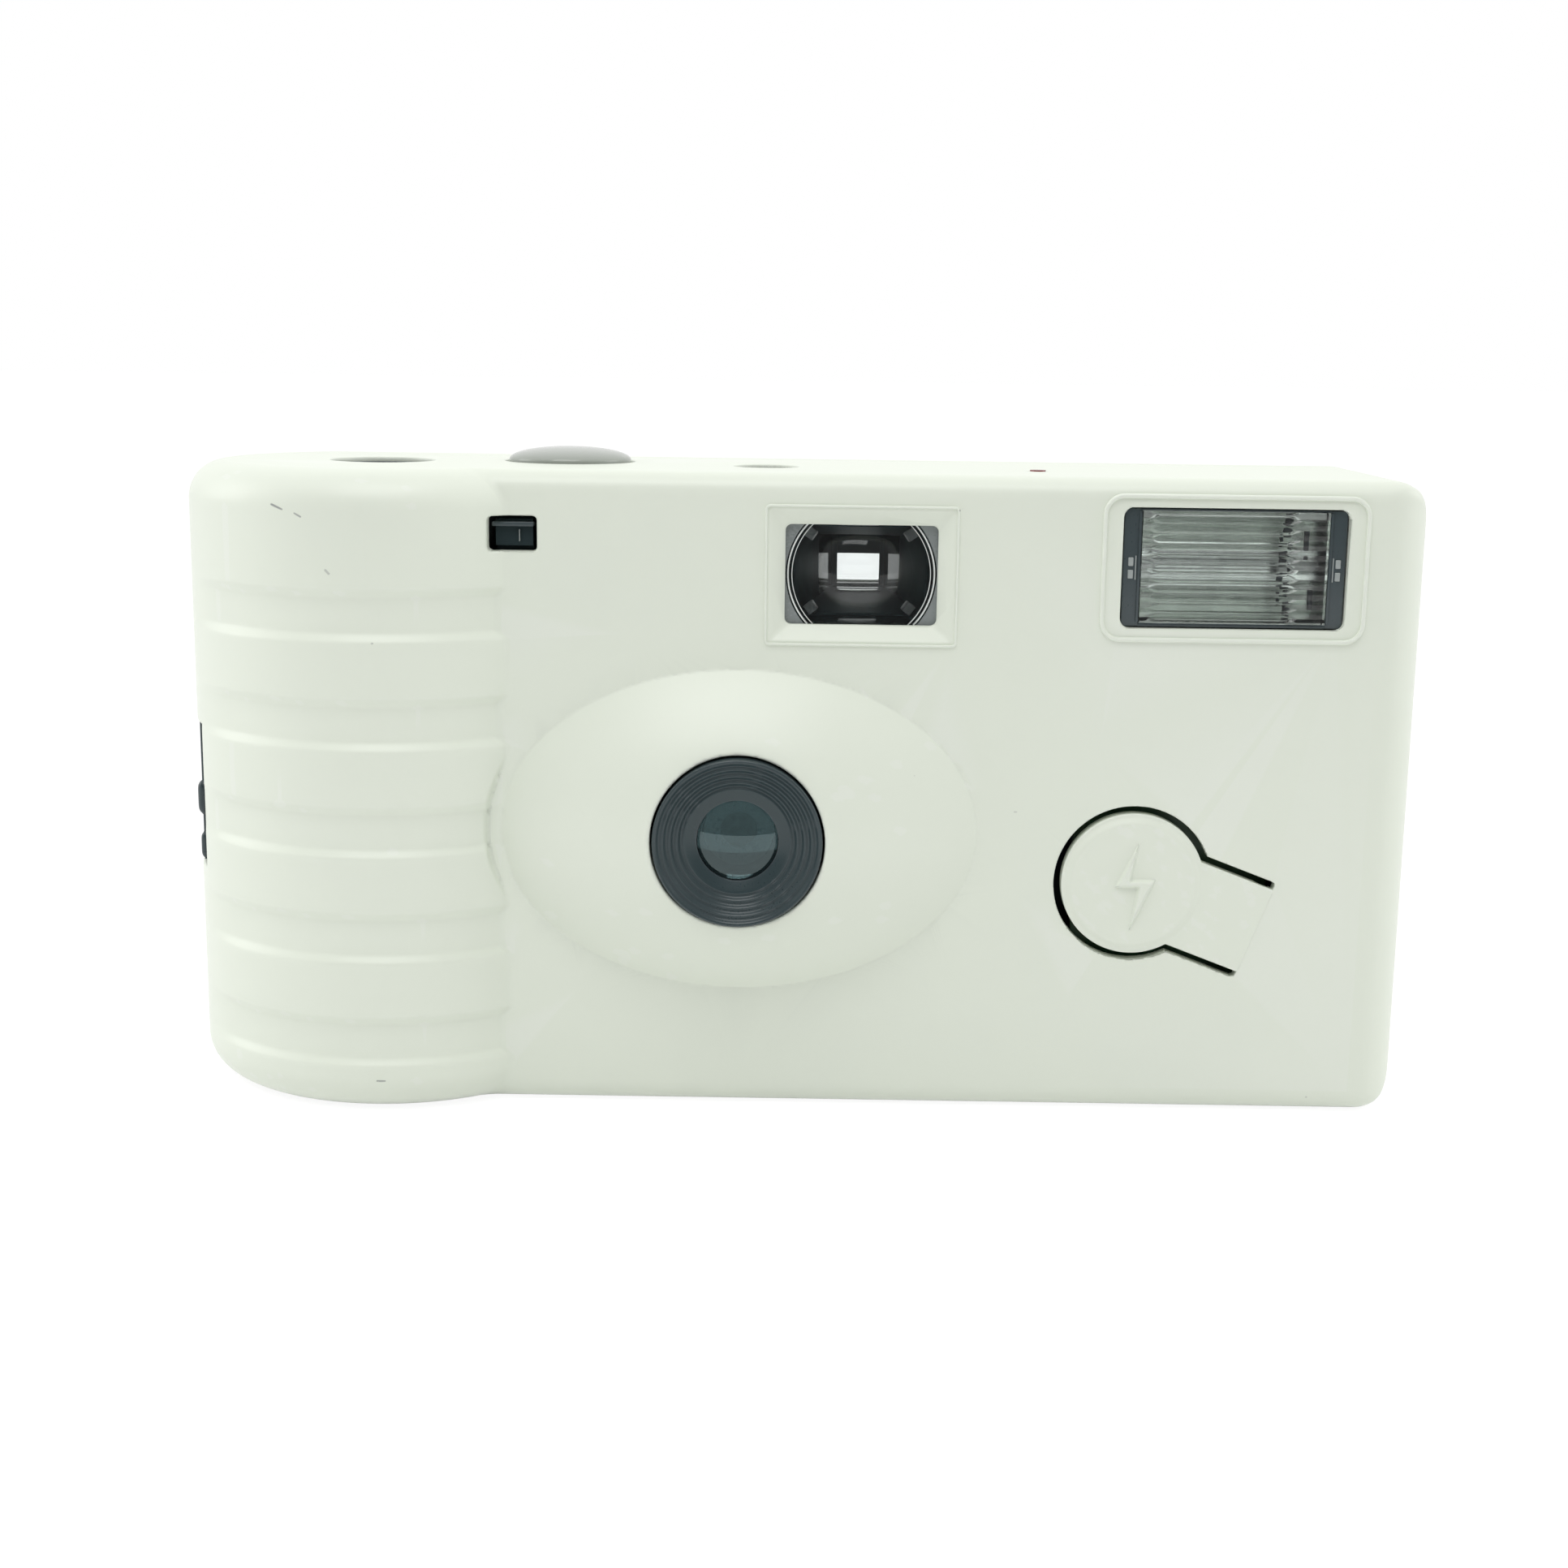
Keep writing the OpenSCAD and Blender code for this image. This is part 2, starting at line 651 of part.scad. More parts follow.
module flash_reflector() {
  y0 = in_front + 1.1;
  d = 6.4;
  h = flash_h / 2 - 0.2;
  outer = concat(trough(0, h, d, 10),
    [for (i = [10 : -1 : 1]) let (p = trough(0, h, d, 10)[i]) [p[0], -p[1]]]);
  inner = concat(trough(0, h - 0.5, d - 0.5, 10),
    [for (i = [10 : -1 : 1]) let (p = trough(0, h - 0.5, d - 0.5, 10)[i]) [p[0], -p[1]]]);
  color("silver") difference() {
    union() {
      translate([flash_x - flash_w / 2, y0, flash_z]) rotate([0, 90, 0]) rotate([0, 0, 90])
        linear_extrude(height = flash_w) difference() {
          polygon([for (p = outer) [p[0], p[1]]]);
          polygon([for (p = inner) [p[0] - 0.01, p[1]]]);
        }
      for (x = [flash_x - flash_w / 2, flash_x + flash_w / 2 - 0.5]) translate([x, y0, flash_z])
        rotate([0, 90, 0]) rotate([0, 0, 90]) linear_extrude(height = 0.5) polygon(outer);
    }
    rod_x(flash_x - flash_w, flash_x + flash_w, tube_y, flash_z, tube_r + 0.2);
  }
}

module flash_tube() {
  y = tube_y;
  color("white") rod_x(flash_x - flash_w / 2 - 1.2, flash_x + flash_w / 2 + 1.2, y, flash_z, tube_r);
  color("silver") for (s = [-1, 1]) {
    x = flash_x + s * (flash_w / 2 + 1.2 + 0.8);
    rod_x(x - 0.8, x + 0.8, y, flash_z, 1);
  }
}

module flash_board() {
  color("darkgreen") difference() {
    union() {
      box(pcb_x0, pcb_x1, pcb_y0, pcb_y0 + pcb_t, shelf_z + 2.8, deck_z - 1);
      box(flash_x - 4, flash_x + 4, pcb_y0, pcb_y0 + pcb_t, deck_z - 2, flash_z - flash_h / 2 - 0.6);
    }
    for (z = [screw_z0, screw_z1]) rod_y(screw_x, pcb_y0 - 1, pcb_y0 + pcb_t + 1, z, 0.95);
  }
}

module board_screws() {
  color("silver") for (z = [screw_z0, screw_z1]) {
    rod_y(screw_x, pcb_y0 - 0.8, pcb_y0, z, 1.6);
    rod_y(screw_x, pcb_y0 - 0.1, pcb_y0 + pcb_t + 2, z, 0.75);
  }
}

module capacitor() {
  color("navy") post(cap_x, cap_y, shelf_z, shelf_z + cap_len, cap_r);
  color("silver") for (s = [-1, 1])
    post(cap_x + s * 1.6, cap_y, shelf_z + cap_len - 0.1, shelf_z + cap_len + 2, 0.4);
}

module transformer() {
  y0 = pcb_y0 + pcb_t;
  x1 = pcb_x1 - 0.4;
  z0 = deck_z - 3 - coil_h;
  color("gold") box(x1 - coil_w, x1, y0, y0 + coil_d, z0, z0 + coil_h);
  color("black") for (z = [z0 - 1, z0 + coil_h])
    box(x1 - coil_w - 0.6, x1 + 0.3, y0, y0 + coil_d + 0.6, z, z + 1);
}

module switch_blade() {
  color("gold") {
    upright(tongue_x, tongue_z, pcb_y0 - 0.3, pcb_y0) rotate(-tongue_turn) translate([7, -1.5])
      square([5, 3]);
    upright(tongue_x, tongue_z, pcb_y0 - 1.4, pcb_y0) rotate(-tongue_turn) translate([7, -1.5])
      square([0.3, 3]);
    upright(tongue_x, tongue_z, pcb_y0 - 1.4, pcb_y0 - 1.1) rotate(-tongue_turn) translate([0, -1.5])
      square([7.2, 3]);
  }
}

module ready_lamp() {
  color("orange") {
    post(lamp_x, lamp_y, case_top, in_top - 1.8, 1.7);
    translate([lamp_x, lamp_y, in_top - 1.8]) sphere(r = 0.9);
  }
}

module light_pipe() {
  color("red") {
    post(lamp_x, lamp_y, in_top - 0.9, in_top, 1.6);
    post(lamp_x, lamp_y, in_top - 0.2, body_h + 0.1, 0.75);
  }
}

module battery() {
  color("darkslategray") post(cell_x, cell_y, cell_z, cell_z + cell_len - 1.2, cell_r);
  color("silver") post(cell_x, cell_y, cell_z + cell_len - 1.3, cell_z + cell_len, 1.9);
}

module battery_spring() {
  color("silver") {
    box(cell_x - 4, cell_x + 4, cell_y - 4, cell_y + 4, shelf_z, shelf_z + 0.4);
    translate([cell_x, cell_y, shelf_z + 0.3]) coil(2.6, 0.35, 2, cell_z - shelf_z - 0.4);
  }
}

module battery_plate() {
  z = cell_z + cell_len + 0.2;
  color("silver") box(cell_x - 4, cell_x + 4, cell_y - 4, cell_y + 4, z, z + 0.5);
}

module counter_window() {
  color("lightblue") {
    post(counter_x, counter_y, in_top - 0.2, body_h - 0.2, counter_d / 2 - 0.1);
    post(counter_x, counter_y, in_top - 0.7, in_top, counter_d / 2 + 0.8);
  }
}

module counter_dial() {
  color("white") {
    translate([dial_x, dial_y, dial_z]) linear_extrude(height = dial_t)
      polygon([for (i = [0 : 59]) let (r = i % 2 == 0 ? dial_r : dial_r - 0.6)
        [r * cos(6 * i), r * sin(6 * i)]]);
    post(dial_x, dial_y, deck_top + 0.3, dial_z + 0.1, 2);
    post(dial_x, dial_y, deck_z + 0.2, deck_top + 0.4, 1.4);
  }
}

module wind_wheel() {
  n = wheel_teeth;
  color("black") difference() {
    union() {
      translate([cassette_x, cassette_y, wheel_z]) linear_extrude(height = wheel_t)
        polygon([for (i = [0 : 2 * n - 1]) let (r = i % 2 == 0 ? wheel_r : wheel_r - 0.6)
          [r * cos(180 * i / n), r * sin(180 * i / n)]]);
      post(cassette_x, cassette_y, wheel_z + wheel_t - 0.1, body_h - 0.4, hub_r);
      post(cassette_x, cassette_y, roof_z - 0.2, wheel_z + 0.1, 3);
      post(cassette_x, cassette_y, spool_z1 - 3.5, roof_z, 2.9);
    }
    post(cassette_x, cassette_y, body_h - 1.2, body_h, hub_r - 1.2);
    box(cassette_x - 5, cassette_x + 5, cassette_y - 0.8, cassette_y + 0.8, spool_z1 - 4, spool_z1 - 0.5);
  }
}

module cassette_can() {
  lip_x = cassette_x + sqrt(pow(cassette_r, 2) - pow(film_front - 0.45 - cassette_y, 2)) - 0.6;
  color("darkkhaki") {
    difference() {
      post(cassette_x, cassette_y, can_z0, can_z1, cassette_r);
      post(cassette_x, cassette_y, can_z0 - 1, can_z1 + 1, cassette_r - 0.4);
    }
    for (y = [film_front - 0.5, film_back + 0.15])
      box(lip_x, cassette_x + cassette_r - 1, y, y + 0.35, can_z0, can_z1);
  }
}

module cassette_caps() {
  color("dimgray") for (z = [can_z0 - cap_t, can_z1]) difference() {
    post(cassette_x, cassette_y, z, z + cap_t, cassette_r + 0.1);
    post(cassette_x, cassette_y, z - 1, z + cap_t + 1, 5.7);
  }
}

module cassette_spool() {
  color("black") difference() {
    union() {
      post(cassette_x, cassette_y, spool_z0, spool_z1, 5.4);
      for (z = [film_z0 - 1.6, film_z1 + 0.6]) post(cassette_x, cassette_y, z, z + 1, cassette_r - 1);
    }
    post(cassette_x, cassette_y, spool_z1 - 5, spool_z1 + 1, 3.2);
    post(cassette_x, cassette_y, spool_z0 - 1, spool_z0 + 4, 3.2);
  }
  color("black") box(cassette_x - 3.3, cassette_x + 3.3, cassette_y - 0.6, cassette_y + 0.6,
    spool_z1 - 5.1, spool_z1 - 1);
}

module film_strip() {
  x0 = cassette_x + cassette_r - 3;
  n = floor((supply_x - x0 - 4) / perf_pitch);
  color("saddlebrown") difference() {
    box(x0, supply_x, film_front, film_back, film_z0, film_z1);
    for (i = [0 : n]) for (z = [film_z0 + 2, film_z1 - 4.8])
      box(x0 + 2 + i * perf_pitch, x0 + 4 + i * perf_pitch, film_front - 1, film_back + 1, z, z + 2.8);
  }
}

module supply_spool() {
  color("black") {
    post(supply_x, supply_y, film_z0 - 1.4, film_z1 + 1.4, 4.5);
    post(supply_x, supply_y, film_z0 - 2.9, film_z0 - 1.3, 2);
    post(supply_x, supply_y, film_z1 + 1.3, film_z1 + 2.9, 2);
  }
}

module film_roll() {
  color("saddlebrown") difference() {
    post(supply_x, supply_y, film_z0, film_z1, roll_r);
    post(supply_x, supply_y, film_z0 - 1, film_z1 + 1, 4.55);
  }
}

module sprocket() {
  z = film_z1 - 3.9;
  color("ivory") {
    translate([sprocket_x, sprocket_y, z]) linear_extrude(height = 1.6)
      polygon([for (i = [0 : 7]) each [for (q = [[-14, 5.1], [-7, 5.2], [-5, sprocket_r], [5, sprocket_r],
        [7, 5.2], [14, 5.1]]) [q[1] * cos(45 * i + q[0]), q[1] * sin(45 * i + q[0])]]]);
    post(sprocket_x, sprocket_y, z - 0.4, dial_z, 1.2);
    post(sprocket_x, sprocket_y, dial_z - 0.1, dial_z + dial_t, 1.6);
    box(sprocket_x - 0.6, sprocket_x + 0.6, sprocket_y - 2.4, sprocket_y, dial_z, dial_z + dial_t);
    post(sprocket_x + 0.5, sprocket_y, kick_z, kick_z + lever_t, 1.9);
  }
}

module main_frame() {
  z = film_z1 - 3.9;
  web_x = lens_x - frame_w / 2 - 2.2;
  color("#202225") difference() {
    union() {
      post(cassette_x, cassette_y, frame_z0, roof_z + roof_t, chamber_out);
      post(supply_x, supply_y, frame_z0, case_top, case_out);
      box(web_x, supply_x - 6, rail_y - 2, rail_y, film_z0 - 1.2, deck_z);
      box(web_x - 1.6, web_x + 0.4, cassette_y - 4, rail_y, film_z0 - 4, deck_z);
      hull() {
        box(lens_x - frame_w / 2 - 1.5, lens_x + frame_w / 2 + 1.5, rail_y - 2, rail_y - 1,
          lens_z - frame_h / 2 - 1.5, lens_z + frame_h / 2 + 1.5);
        box(lens_x - 7, lens_x + 7, board_y0 + 0.5, board_y0 + 1.2, lens_z - 6, lens_z + 6);
      }
      box(lens_x - 16, lens_x + 16, board_y0, board_y0 + board_t, film_z0, deck_z);
      box(web_x - 1.6, finder_x - finder_w / 2 - 1.5, board_y0, rail_y - 1, deck_z, deck_top);
      post(kick_x, kick_y, deck_z, kick_z + lever_t + 2.6, 1.2);
      rod_y(blade_px, blade_y0 - 0.2, board_y0 + 0.5, blade_pz, 0.8);
      box(pivot_x - 1.2, pivot_x + 1.2, pivot_y + 1.3, pivot_y + 2.5, deck_z, bridge_z + bridge_t);
      rod_y(pivot_x, pivot_y - 1.2, pivot_y + 1.4, pivot_z, 0.9);
      box(stem_x - 2.4, pivot_x + 1.2, pivot_y - 2.2, pivot_y + 2.5, bridge_z, bridge_z + bridge_t);
      box(hook_x - 1.7, hook_x + 1.7, in_front + fit_gap, in_front + 1.9, deck_z, hook_z + hook_h / 2 - 0.2);
      box(hook_x - 1.7, hook_x + 1.7, y_panel + 0.9, in_front + 1, hook_z - hook_h / 2 + 0.3,
        hook_z + hook_h / 2 - 0.3);
      box(hook_x - 0.9, hook_x + 1.7, in_front + 1, board_y0 + 3, deck_z, deck_top);
      box(supply_x, cell_x + cell_r, supply_y - 2, cell_y + 5, frame_z0, shelf_z);
      box(cap_x - 5, cell_x + cell_r, cap_y - cap_r + 1, cell_y, frame_z0, shelf_z);
      box(cell_x - cell_r - 2, cell_x - cell_r - 0.6, cell_y - 4, cell_y + 5, frame_z0,
        cell_z + cell_len + 2);
      box(cell_x - cell_r - 2, cell_x + cell_r, cell_y - 4, cell_y + 5, cell_z + cell_len + 0.7,
        cell_z + cell_len + 2);
      box(supply_x + case_in, cell_x - cell_r - 1, cell_y - 2, cell_y, frame_z0, case_top);
      for (h = [screw_z0, screw_z1]) rod_y(screw_x, pcb_y0 + pcb_t, supply_y, h, 2);
    }
    post(cassette_x, cassette_y, frame_z0 - 1, roof_z, chamber_in);
    post(cassette_x, cassette_y, roof_z - 1, roof_z + roof_t + 1, 3.08);
    box(cassette_x - 0.1, web_x - 0.3, film_front - 2.5, rail_y + 5, frame_z0 - 1, roof_z);
    post(supply_x, supply_y, film_z0 - 2, film_z1 + 2, case_in);
    post(supply_x, supply_y, film_z0 - 3, film_z1 + 3, 2.06);
    post(supply_x, supply_y, frame_z0 - 1, film_z0 - 4, case_in);
    box(x_left, x_right, rail_y, y_back, frame_z0 - 1, deck_z + 8);
    hull() {
      box(lens_x - frame_w / 2, lens_x + frame_w / 2, rail_y - 1, rail_y + 1,
        lens_z - frame_h / 2, lens_z + frame_h / 2);
      box(lens_x - 5.5, lens_x + 5.5, board_y0 - 1, board_y0 + 0.5, lens_z - 4.5, lens_z + 4.5);
    }
    box(sprocket_x - 7, sprocket_x + 7, sprocket_y, rail_y + 1, z - 0.4, z + 2);
    post(sprocket_x, sprocket_y, deck_z - 1, deck_top + 1, 1.28);
    post(dial_x, dial_y, deck_z - 1, deck_top + 1, 1.48);
    post(stem_x, stem_y, bridge_z - 1, bridge_z + bridge_t + 1, 1.3);
    for (h = [screw_z0, screw_z1]) rod_y(screw_x, pcb_y0, pcb_y0 + pcb_t + 2.2, h, 0.8);
  }
}

module cassette_door() {
  half = sqrt(pow(door_r, 2) - pow(door_hinge_y - cassette_y + door_lean, 2)) - fit_gap;
  color("white") {
    intersection() {
      post(cassette_x, cassette_y, wall - door_t, wall, door_r);
      post(cassette_x, cassette_y - door_lean, wall - door_t, wall, door_r);
      box(x_left, x_right, cassette_y - 20, door_hinge_y, -1, wall + 1);
    }
    rod_x(cassette_x - half, cassette_x + half, door_hinge_y, door_hinge_z, door_t / 2);
    difference() {
      post(cassette_x, cassette_y, wall - 0.1, spool_z0 - 0.4, 4.4);
      post(cassette_x, cassette_y, wall + 0.6, spool_z0, 3);
    }
  }
}

module strap_bar() {
  d1 = grip_r - wall;
  color("black") at_strap() {
    difference() {
      box(d1 - 1.2, d1 + 1.1, -strap_w / 2 + 0.1, strap_w / 2 - 0.1, -strap_h / 2 + 0.1, strap_h / 2 - 0.1);
      box(d1 - 0.6, d1 + 3, -strap_w / 2 + 0.7, strap_w / 2 - 0.7, -strap_h / 2 + 0.8, strap_h / 2 - 0.8);
    }
    translate([d1 + 0.5, 0, 0]) rotate([90, 0, 0]) cylinder(r = 0.6, h = strap_w - 1, center = true);
  }
}

front_cover();
back_cover();
flash_button();
shutter_button();
lens_ring();
taking_lens();
shutter_plate();
shutter_blade();
kick_lever();
kick_spring();
release_lever();
button_spring();
finder_front_lens();
finder_tunnel();
finder_eyepiece();
flash_lens();
flash_reflector();
flash_tube();
flash_board();
capacitor();
transformer();
switch_blade();
board_screws();
ready_lamp();
light_pipe();
battery();
battery_spring();
battery_plate();
counter_window();
counter_dial();
wind_wheel();
cassette_can();
cassette_caps();
cassette_spool();
film_strip();
supply_spool();
film_roll();
sprocket();
main_frame();
cassette_door();
strap_bar();
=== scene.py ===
import json
import math

import bmesh
import bpy
import numpy as np
from mathutils import Matrix, Vector

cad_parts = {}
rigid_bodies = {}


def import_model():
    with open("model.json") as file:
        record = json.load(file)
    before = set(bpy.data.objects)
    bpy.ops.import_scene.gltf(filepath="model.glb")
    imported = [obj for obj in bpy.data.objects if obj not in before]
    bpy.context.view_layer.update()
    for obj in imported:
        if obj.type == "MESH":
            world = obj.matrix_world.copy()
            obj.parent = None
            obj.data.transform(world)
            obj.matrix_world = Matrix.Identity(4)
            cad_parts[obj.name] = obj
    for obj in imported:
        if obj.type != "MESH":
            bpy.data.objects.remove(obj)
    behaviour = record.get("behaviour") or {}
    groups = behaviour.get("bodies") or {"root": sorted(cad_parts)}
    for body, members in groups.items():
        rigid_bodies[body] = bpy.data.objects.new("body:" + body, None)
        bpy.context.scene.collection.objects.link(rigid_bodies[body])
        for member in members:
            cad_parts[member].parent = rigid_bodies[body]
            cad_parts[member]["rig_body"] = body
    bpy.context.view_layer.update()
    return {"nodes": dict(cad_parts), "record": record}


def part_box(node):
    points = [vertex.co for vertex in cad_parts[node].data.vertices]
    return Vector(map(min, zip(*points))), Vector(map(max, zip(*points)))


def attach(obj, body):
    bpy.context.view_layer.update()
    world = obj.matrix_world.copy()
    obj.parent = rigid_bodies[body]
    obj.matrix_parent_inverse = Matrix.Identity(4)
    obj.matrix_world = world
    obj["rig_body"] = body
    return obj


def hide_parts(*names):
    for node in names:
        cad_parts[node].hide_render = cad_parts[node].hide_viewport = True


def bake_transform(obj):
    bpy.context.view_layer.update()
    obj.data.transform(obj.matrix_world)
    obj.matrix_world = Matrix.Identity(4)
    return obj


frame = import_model()
nodes = frame["nodes"]
scene = bpy.context.scene
mm = 0.001
print("frame loaded:", len(nodes), "nodes")


def boxOf(node):
    low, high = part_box(node)
    return [v / mm for v in low], [v / mm for v in high]


def middle(node):
    low, high = boxOf(node)
    return [(a + b) / 2 for a, b in zip(low, high)]


# main places of the camera in millimetres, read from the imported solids
coverLow, coverHigh = boxOf("front_cover")
buttonLow, buttonHigh = boxOf("flash_button")
body = {"left": coverLow[0], "right": coverHigh[0], "top": coverHigh[2], "seam": coverHigh[1],
        "back": boxOf("finder_eyepiece")[1][1] + 0.1, "panel": buttonLow[1] + 0.6,
        "wall": 1.5, "corner": 4.0, "edge": 2.2, "side": 5.0}
grip = {"radius": 19.5, "proud": 4.5, "endRound": 3.6, "grooves": (7, 17, 27, 37, 47), "grooveHalf": 2.0,
        "grooveDepth": 0.5, "ramp": 0.55, "startDeg": -158.0, "fullDeg": -130.0, "endDeg": -44.0}
grip["x"] = body["left"] + grip["radius"]
grip["y"] = body["panel"] - grip["proud"] + grip["radius"]
dome = {"x": middle("taking_lens")[0], "z": middle("taking_lens")[2], "halfW": 22.1, "halfH": 15.1,
        "rise": 6.2, "power": 2.2, "hole": 8.0, "scallop": 1.5, "skin": 3.0, "skinRise": 2.2}
finder = {"x": middle("finder_front_lens")[0], "z": middle("finder_front_lens")[2], "w": 14.0, "h": 9.2,
          "bevel": 1.65, "land": 1.0, "steep": 0.52, "corner": (0.25, 0.35)}
flash = {"x": middle("flash_lens")[0], "z": middle("flash_lens")[2], "w": 20.0, "h": 11.0,
         "room": 0.25, "corner": 0.9}
tongue = {"radius": 6.7, "slot": 0.6, "half": 4.25, "length": 12.5, "turn": 20.7, "lap": 0.5, "widen": 0.1,
          "disc": 0.3, "bolt": 0.5, "dip": 0.014}
tongue["x"] = buttonLow[0] + tongue["radius"]
tongue["z"] = buttonHigh[2] - tongue["radius"]
wheel = {"x": middle("wind_wheel")[0], "y": middle("wind_wheel")[1], "hole": 5.0, "flap": 13.4}
press = {"x": middle("shutter_button")[0], "y": middle("shutter_button")[1], "hole": 6.3, "flange": 6.8}
counter = {"x": middle("counter_window")[0], "y": middle("counter_window")[1], "hole": 3.1}
lamp = {"x": middle("light_pipe")[0], "y": middle("light_pipe")[1], "hole": 0.9}
hook = {"x": dome["x"] - 20.88, "z": body["top"] - 5.75, "w": 4.4, "h": 3.2, "corner": 0.4}
strap = {"turn": -163.0, "z": middle("strap_bar")[2], "floor": grip["radius"] - body["wall"] - 1.5,
         "halfW": 3.0, "halfH": 7.0}


# node helpers for materials

def newGroup(name, inputs, outputs):
    # an input without a value is a vector, any other one a number
    group = bpy.data.node_groups.new(name, "ShaderNodeTree")
    for label, value in inputs.items():
        kind = "NodeSocketVector" if value is None else "NodeSocketFloat"
        socket = group.interface.new_socket(name=label, in_out="INPUT", socket_type=kind)
        if value is not None:
            socket.default_value = value
    for label in outputs:
        group.interface.new_socket(name=label, in_out="OUTPUT", socket_type="NodeSocketFloat")
    return group, group.nodes.new("NodeGroupInput"), group.nodes.new("NodeGroupOutput")


def addNode(tree, kind, **values):
    node = tree.nodes.new(kind)
    for key, value in values.items():
        setattr(node, key, value)
    return node


def feed(tree, socket, value):
    if isinstance(value, bpy.types.NodeSocket):
        tree.links.new(value, socket)
    elif value is not None:
        socket.default_value = value


def maths(tree, operation, a, b=None, clamp=False):
    node = addNode(tree, "ShaderNodeMath", operation=operation, use_clamp=clamp)
    feed(tree, node.inputs[0], a)
    feed(tree, node.inputs[1], b)
    return node.outputs[0]


def vectors(tree, operation, a, b=None):
    node = addNode(tree, "ShaderNodeVectorMath", operation=operation)
    feed(tree, node.inputs[0], a)
    feed(tree, node.inputs["Scale"] if operation == "SCALE" else node.inputs[1], b)
    return node.outputs["Value"] if operation in ("DOT_PRODUCT", "LENGTH") else node.outputs[0]


def spread(tree, value, low, high, toLow=0.0, toHigh=1.0):
    node = addNode(tree, "ShaderNodeMapRange", interpolation_type="SMOOTHSTEP")
    for label, number in zip(("Value", "From Min", "From Max", "To Min", "To Max"),
                             (value, low, high, toLow, toHigh)):
        feed(tree, node.inputs[label], number)
    return node.outputs["Result"]


def noise(tree, where, scale, detail=3.0, rough=0.55):
    node = addNode(tree, "ShaderNodeTexNoise")
    for label, number in zip(("Vector", "Scale", "Detail", "Roughness"), (where, scale, detail, rough)):
        feed(tree, node.inputs[label], number)
    return node.outputs["Fac"]


def mixColour(tree, factor, a, b):
    node = addNode(tree, "ShaderNodeMix", data_type="RGBA")
    feed(tree, node.inputs[0], factor)
    feed(tree, node.inputs[6], a)
    feed(tree, node.inputs[7], b)
    return node.outputs[2]


def makeMouldGrain():
    # fine spark-eroded tool texture with a slow drift in height and shine
    inputs = {"Vector": None, "Scale": 5000.0, "Shine": 0.4, "Drift": 0.08}
    group, gin, gout = newGroup("mouldGrain", inputs, ("Height", "Roughness"))
    fine = noise(group, gin.outputs["Vector"], gin.outputs["Scale"], 3.0, 0.6)
    slow = noise(group, gin.outputs["Vector"], 55.0, 2.0, 0.5)
    group.links.new(fine, gout.inputs["Height"])
    swing = maths(group, "MULTIPLY", maths(group, "SUBTRACT", slow, 0.5), gin.outputs["Drift"])
    grainy = maths(group, "MULTIPLY", maths(group, "SUBTRACT", fine, 0.5), 0.1)
    rough = maths(group, "ADD", maths(group, "ADD", gin.outputs["Shine"], swing), grainy, clamp=True)
    group.links.new(rough, gout.inputs["Roughness"])
    return group


def makeHandlingMarks():
    # faint smudges and tiny specks
    inputs = {"Vector": None, "Smudge": 0.5, "Specks": 0.5}
    group, gin, gout = newGroup("handlingMarks", inputs, ("Smudge", "Specks"))
    broad = noise(group, gin.outputs["Vector"], 38.0, 4.0, 0.6)
    smudge = maths(group, "MULTIPLY", spread(group, broad, 0.48, 0.78), gin.outputs["Smudge"])
    group.links.new(smudge, gout.inputs["Smudge"])
    cells = addNode(group, "ShaderNodeTexVoronoi", feature="F1")
    cells.inputs["Scale"].default_value = 260.0
    group.links.new(gin.outputs["Vector"], cells.inputs["Vector"])
    dot = spread(group, cells.outputs["Distance"], 0.035, 0.02)
    pick = addNode(group, "ShaderNodeSeparateColor")
    group.links.new(cells.outputs["Color"], pick.inputs["Color"])
    chosen = maths(group, "GREATER_THAN", pick.outputs[0], 0.93)
    specks = maths(group, "MULTIPLY", maths(group, "MULTIPLY", dot, chosen), gin.outputs["Specks"])
    group.links.new(specks, gout.inputs["Specks"])
    return group


def makeRimLightAndHollowShade():
    # lighter sharp rims, partly wear and partly painted highlight, and darker hollows, partly dust and partly
    # painted shade
    group, gin, gout = newGroup("rimLightAndHollowShade", {"Low": 0.5, "High": 0.56}, ("RimWearLight", "HollowDustShade"))
    sharp = addNode(group, "ShaderNodeNewGeometry").outputs["Pointiness"]
    group.links.new(spread(group, sharp, gin.outputs["Low"], gin.outputs["High"]), gout.inputs["RimWearLight"])
    group.links.new(spread(group, sharp, 0.49, 0.42), gout.inputs["HollowDustShade"])
    return group


def makeHairMark():
    # short hair-thin scratch from one point along a vector, broken up by noise
    inputs = {"Vector": None, "Start": None, "Along": None, "Inverse": None, "Width": 0.0001, "Strength": 1.0}
    group, gin, gout = newGroup("hairMark", inputs, ("Mask",))
    fromStart = vectors(group, "SUBTRACT", gin.outputs["Vector"], gin.outputs["Start"])
    share = vectors(group, "DOT_PRODUCT", fromStart, gin.outputs["Inverse"])
    held = maths(group, "MINIMUM", maths(group, "MAXIMUM", share, 0.0), 1.0)
    foot = vectors(group, "SCALE", gin.outputs["Along"], held)
    gap = vectors(group, "LENGTH", vectors(group, "SUBTRACT", fromStart, foot))
    line = spread(group, gap, gin.outputs["Width"], maths(group, "MULTIPLY", gin.outputs["Width"], 0.35))
    broken = spread(group, noise(group, gin.outputs["Vector"], 2600.0, 2.0), 0.3, 0.5)
    mask = maths(group, "MULTIPLY", maths(group, "MULTIPLY", line, broken), gin.outputs["Strength"])
    group.links.new(mask, gout.inputs["Mask"])
    return group


mouldGrain = makeMouldGrain()
handlingMarks = makeHandlingMarks()
rimLightAndHollowShade = makeRimLightAndHollowShade()
hairMark = makeHairMark()


def placeGroup(tree, group, **values):
    node = addNode(tree, "ShaderNodeGroup", node_tree=group)
    for label, value in values.items():
        feed(tree, node.inputs[label], value)
    return node


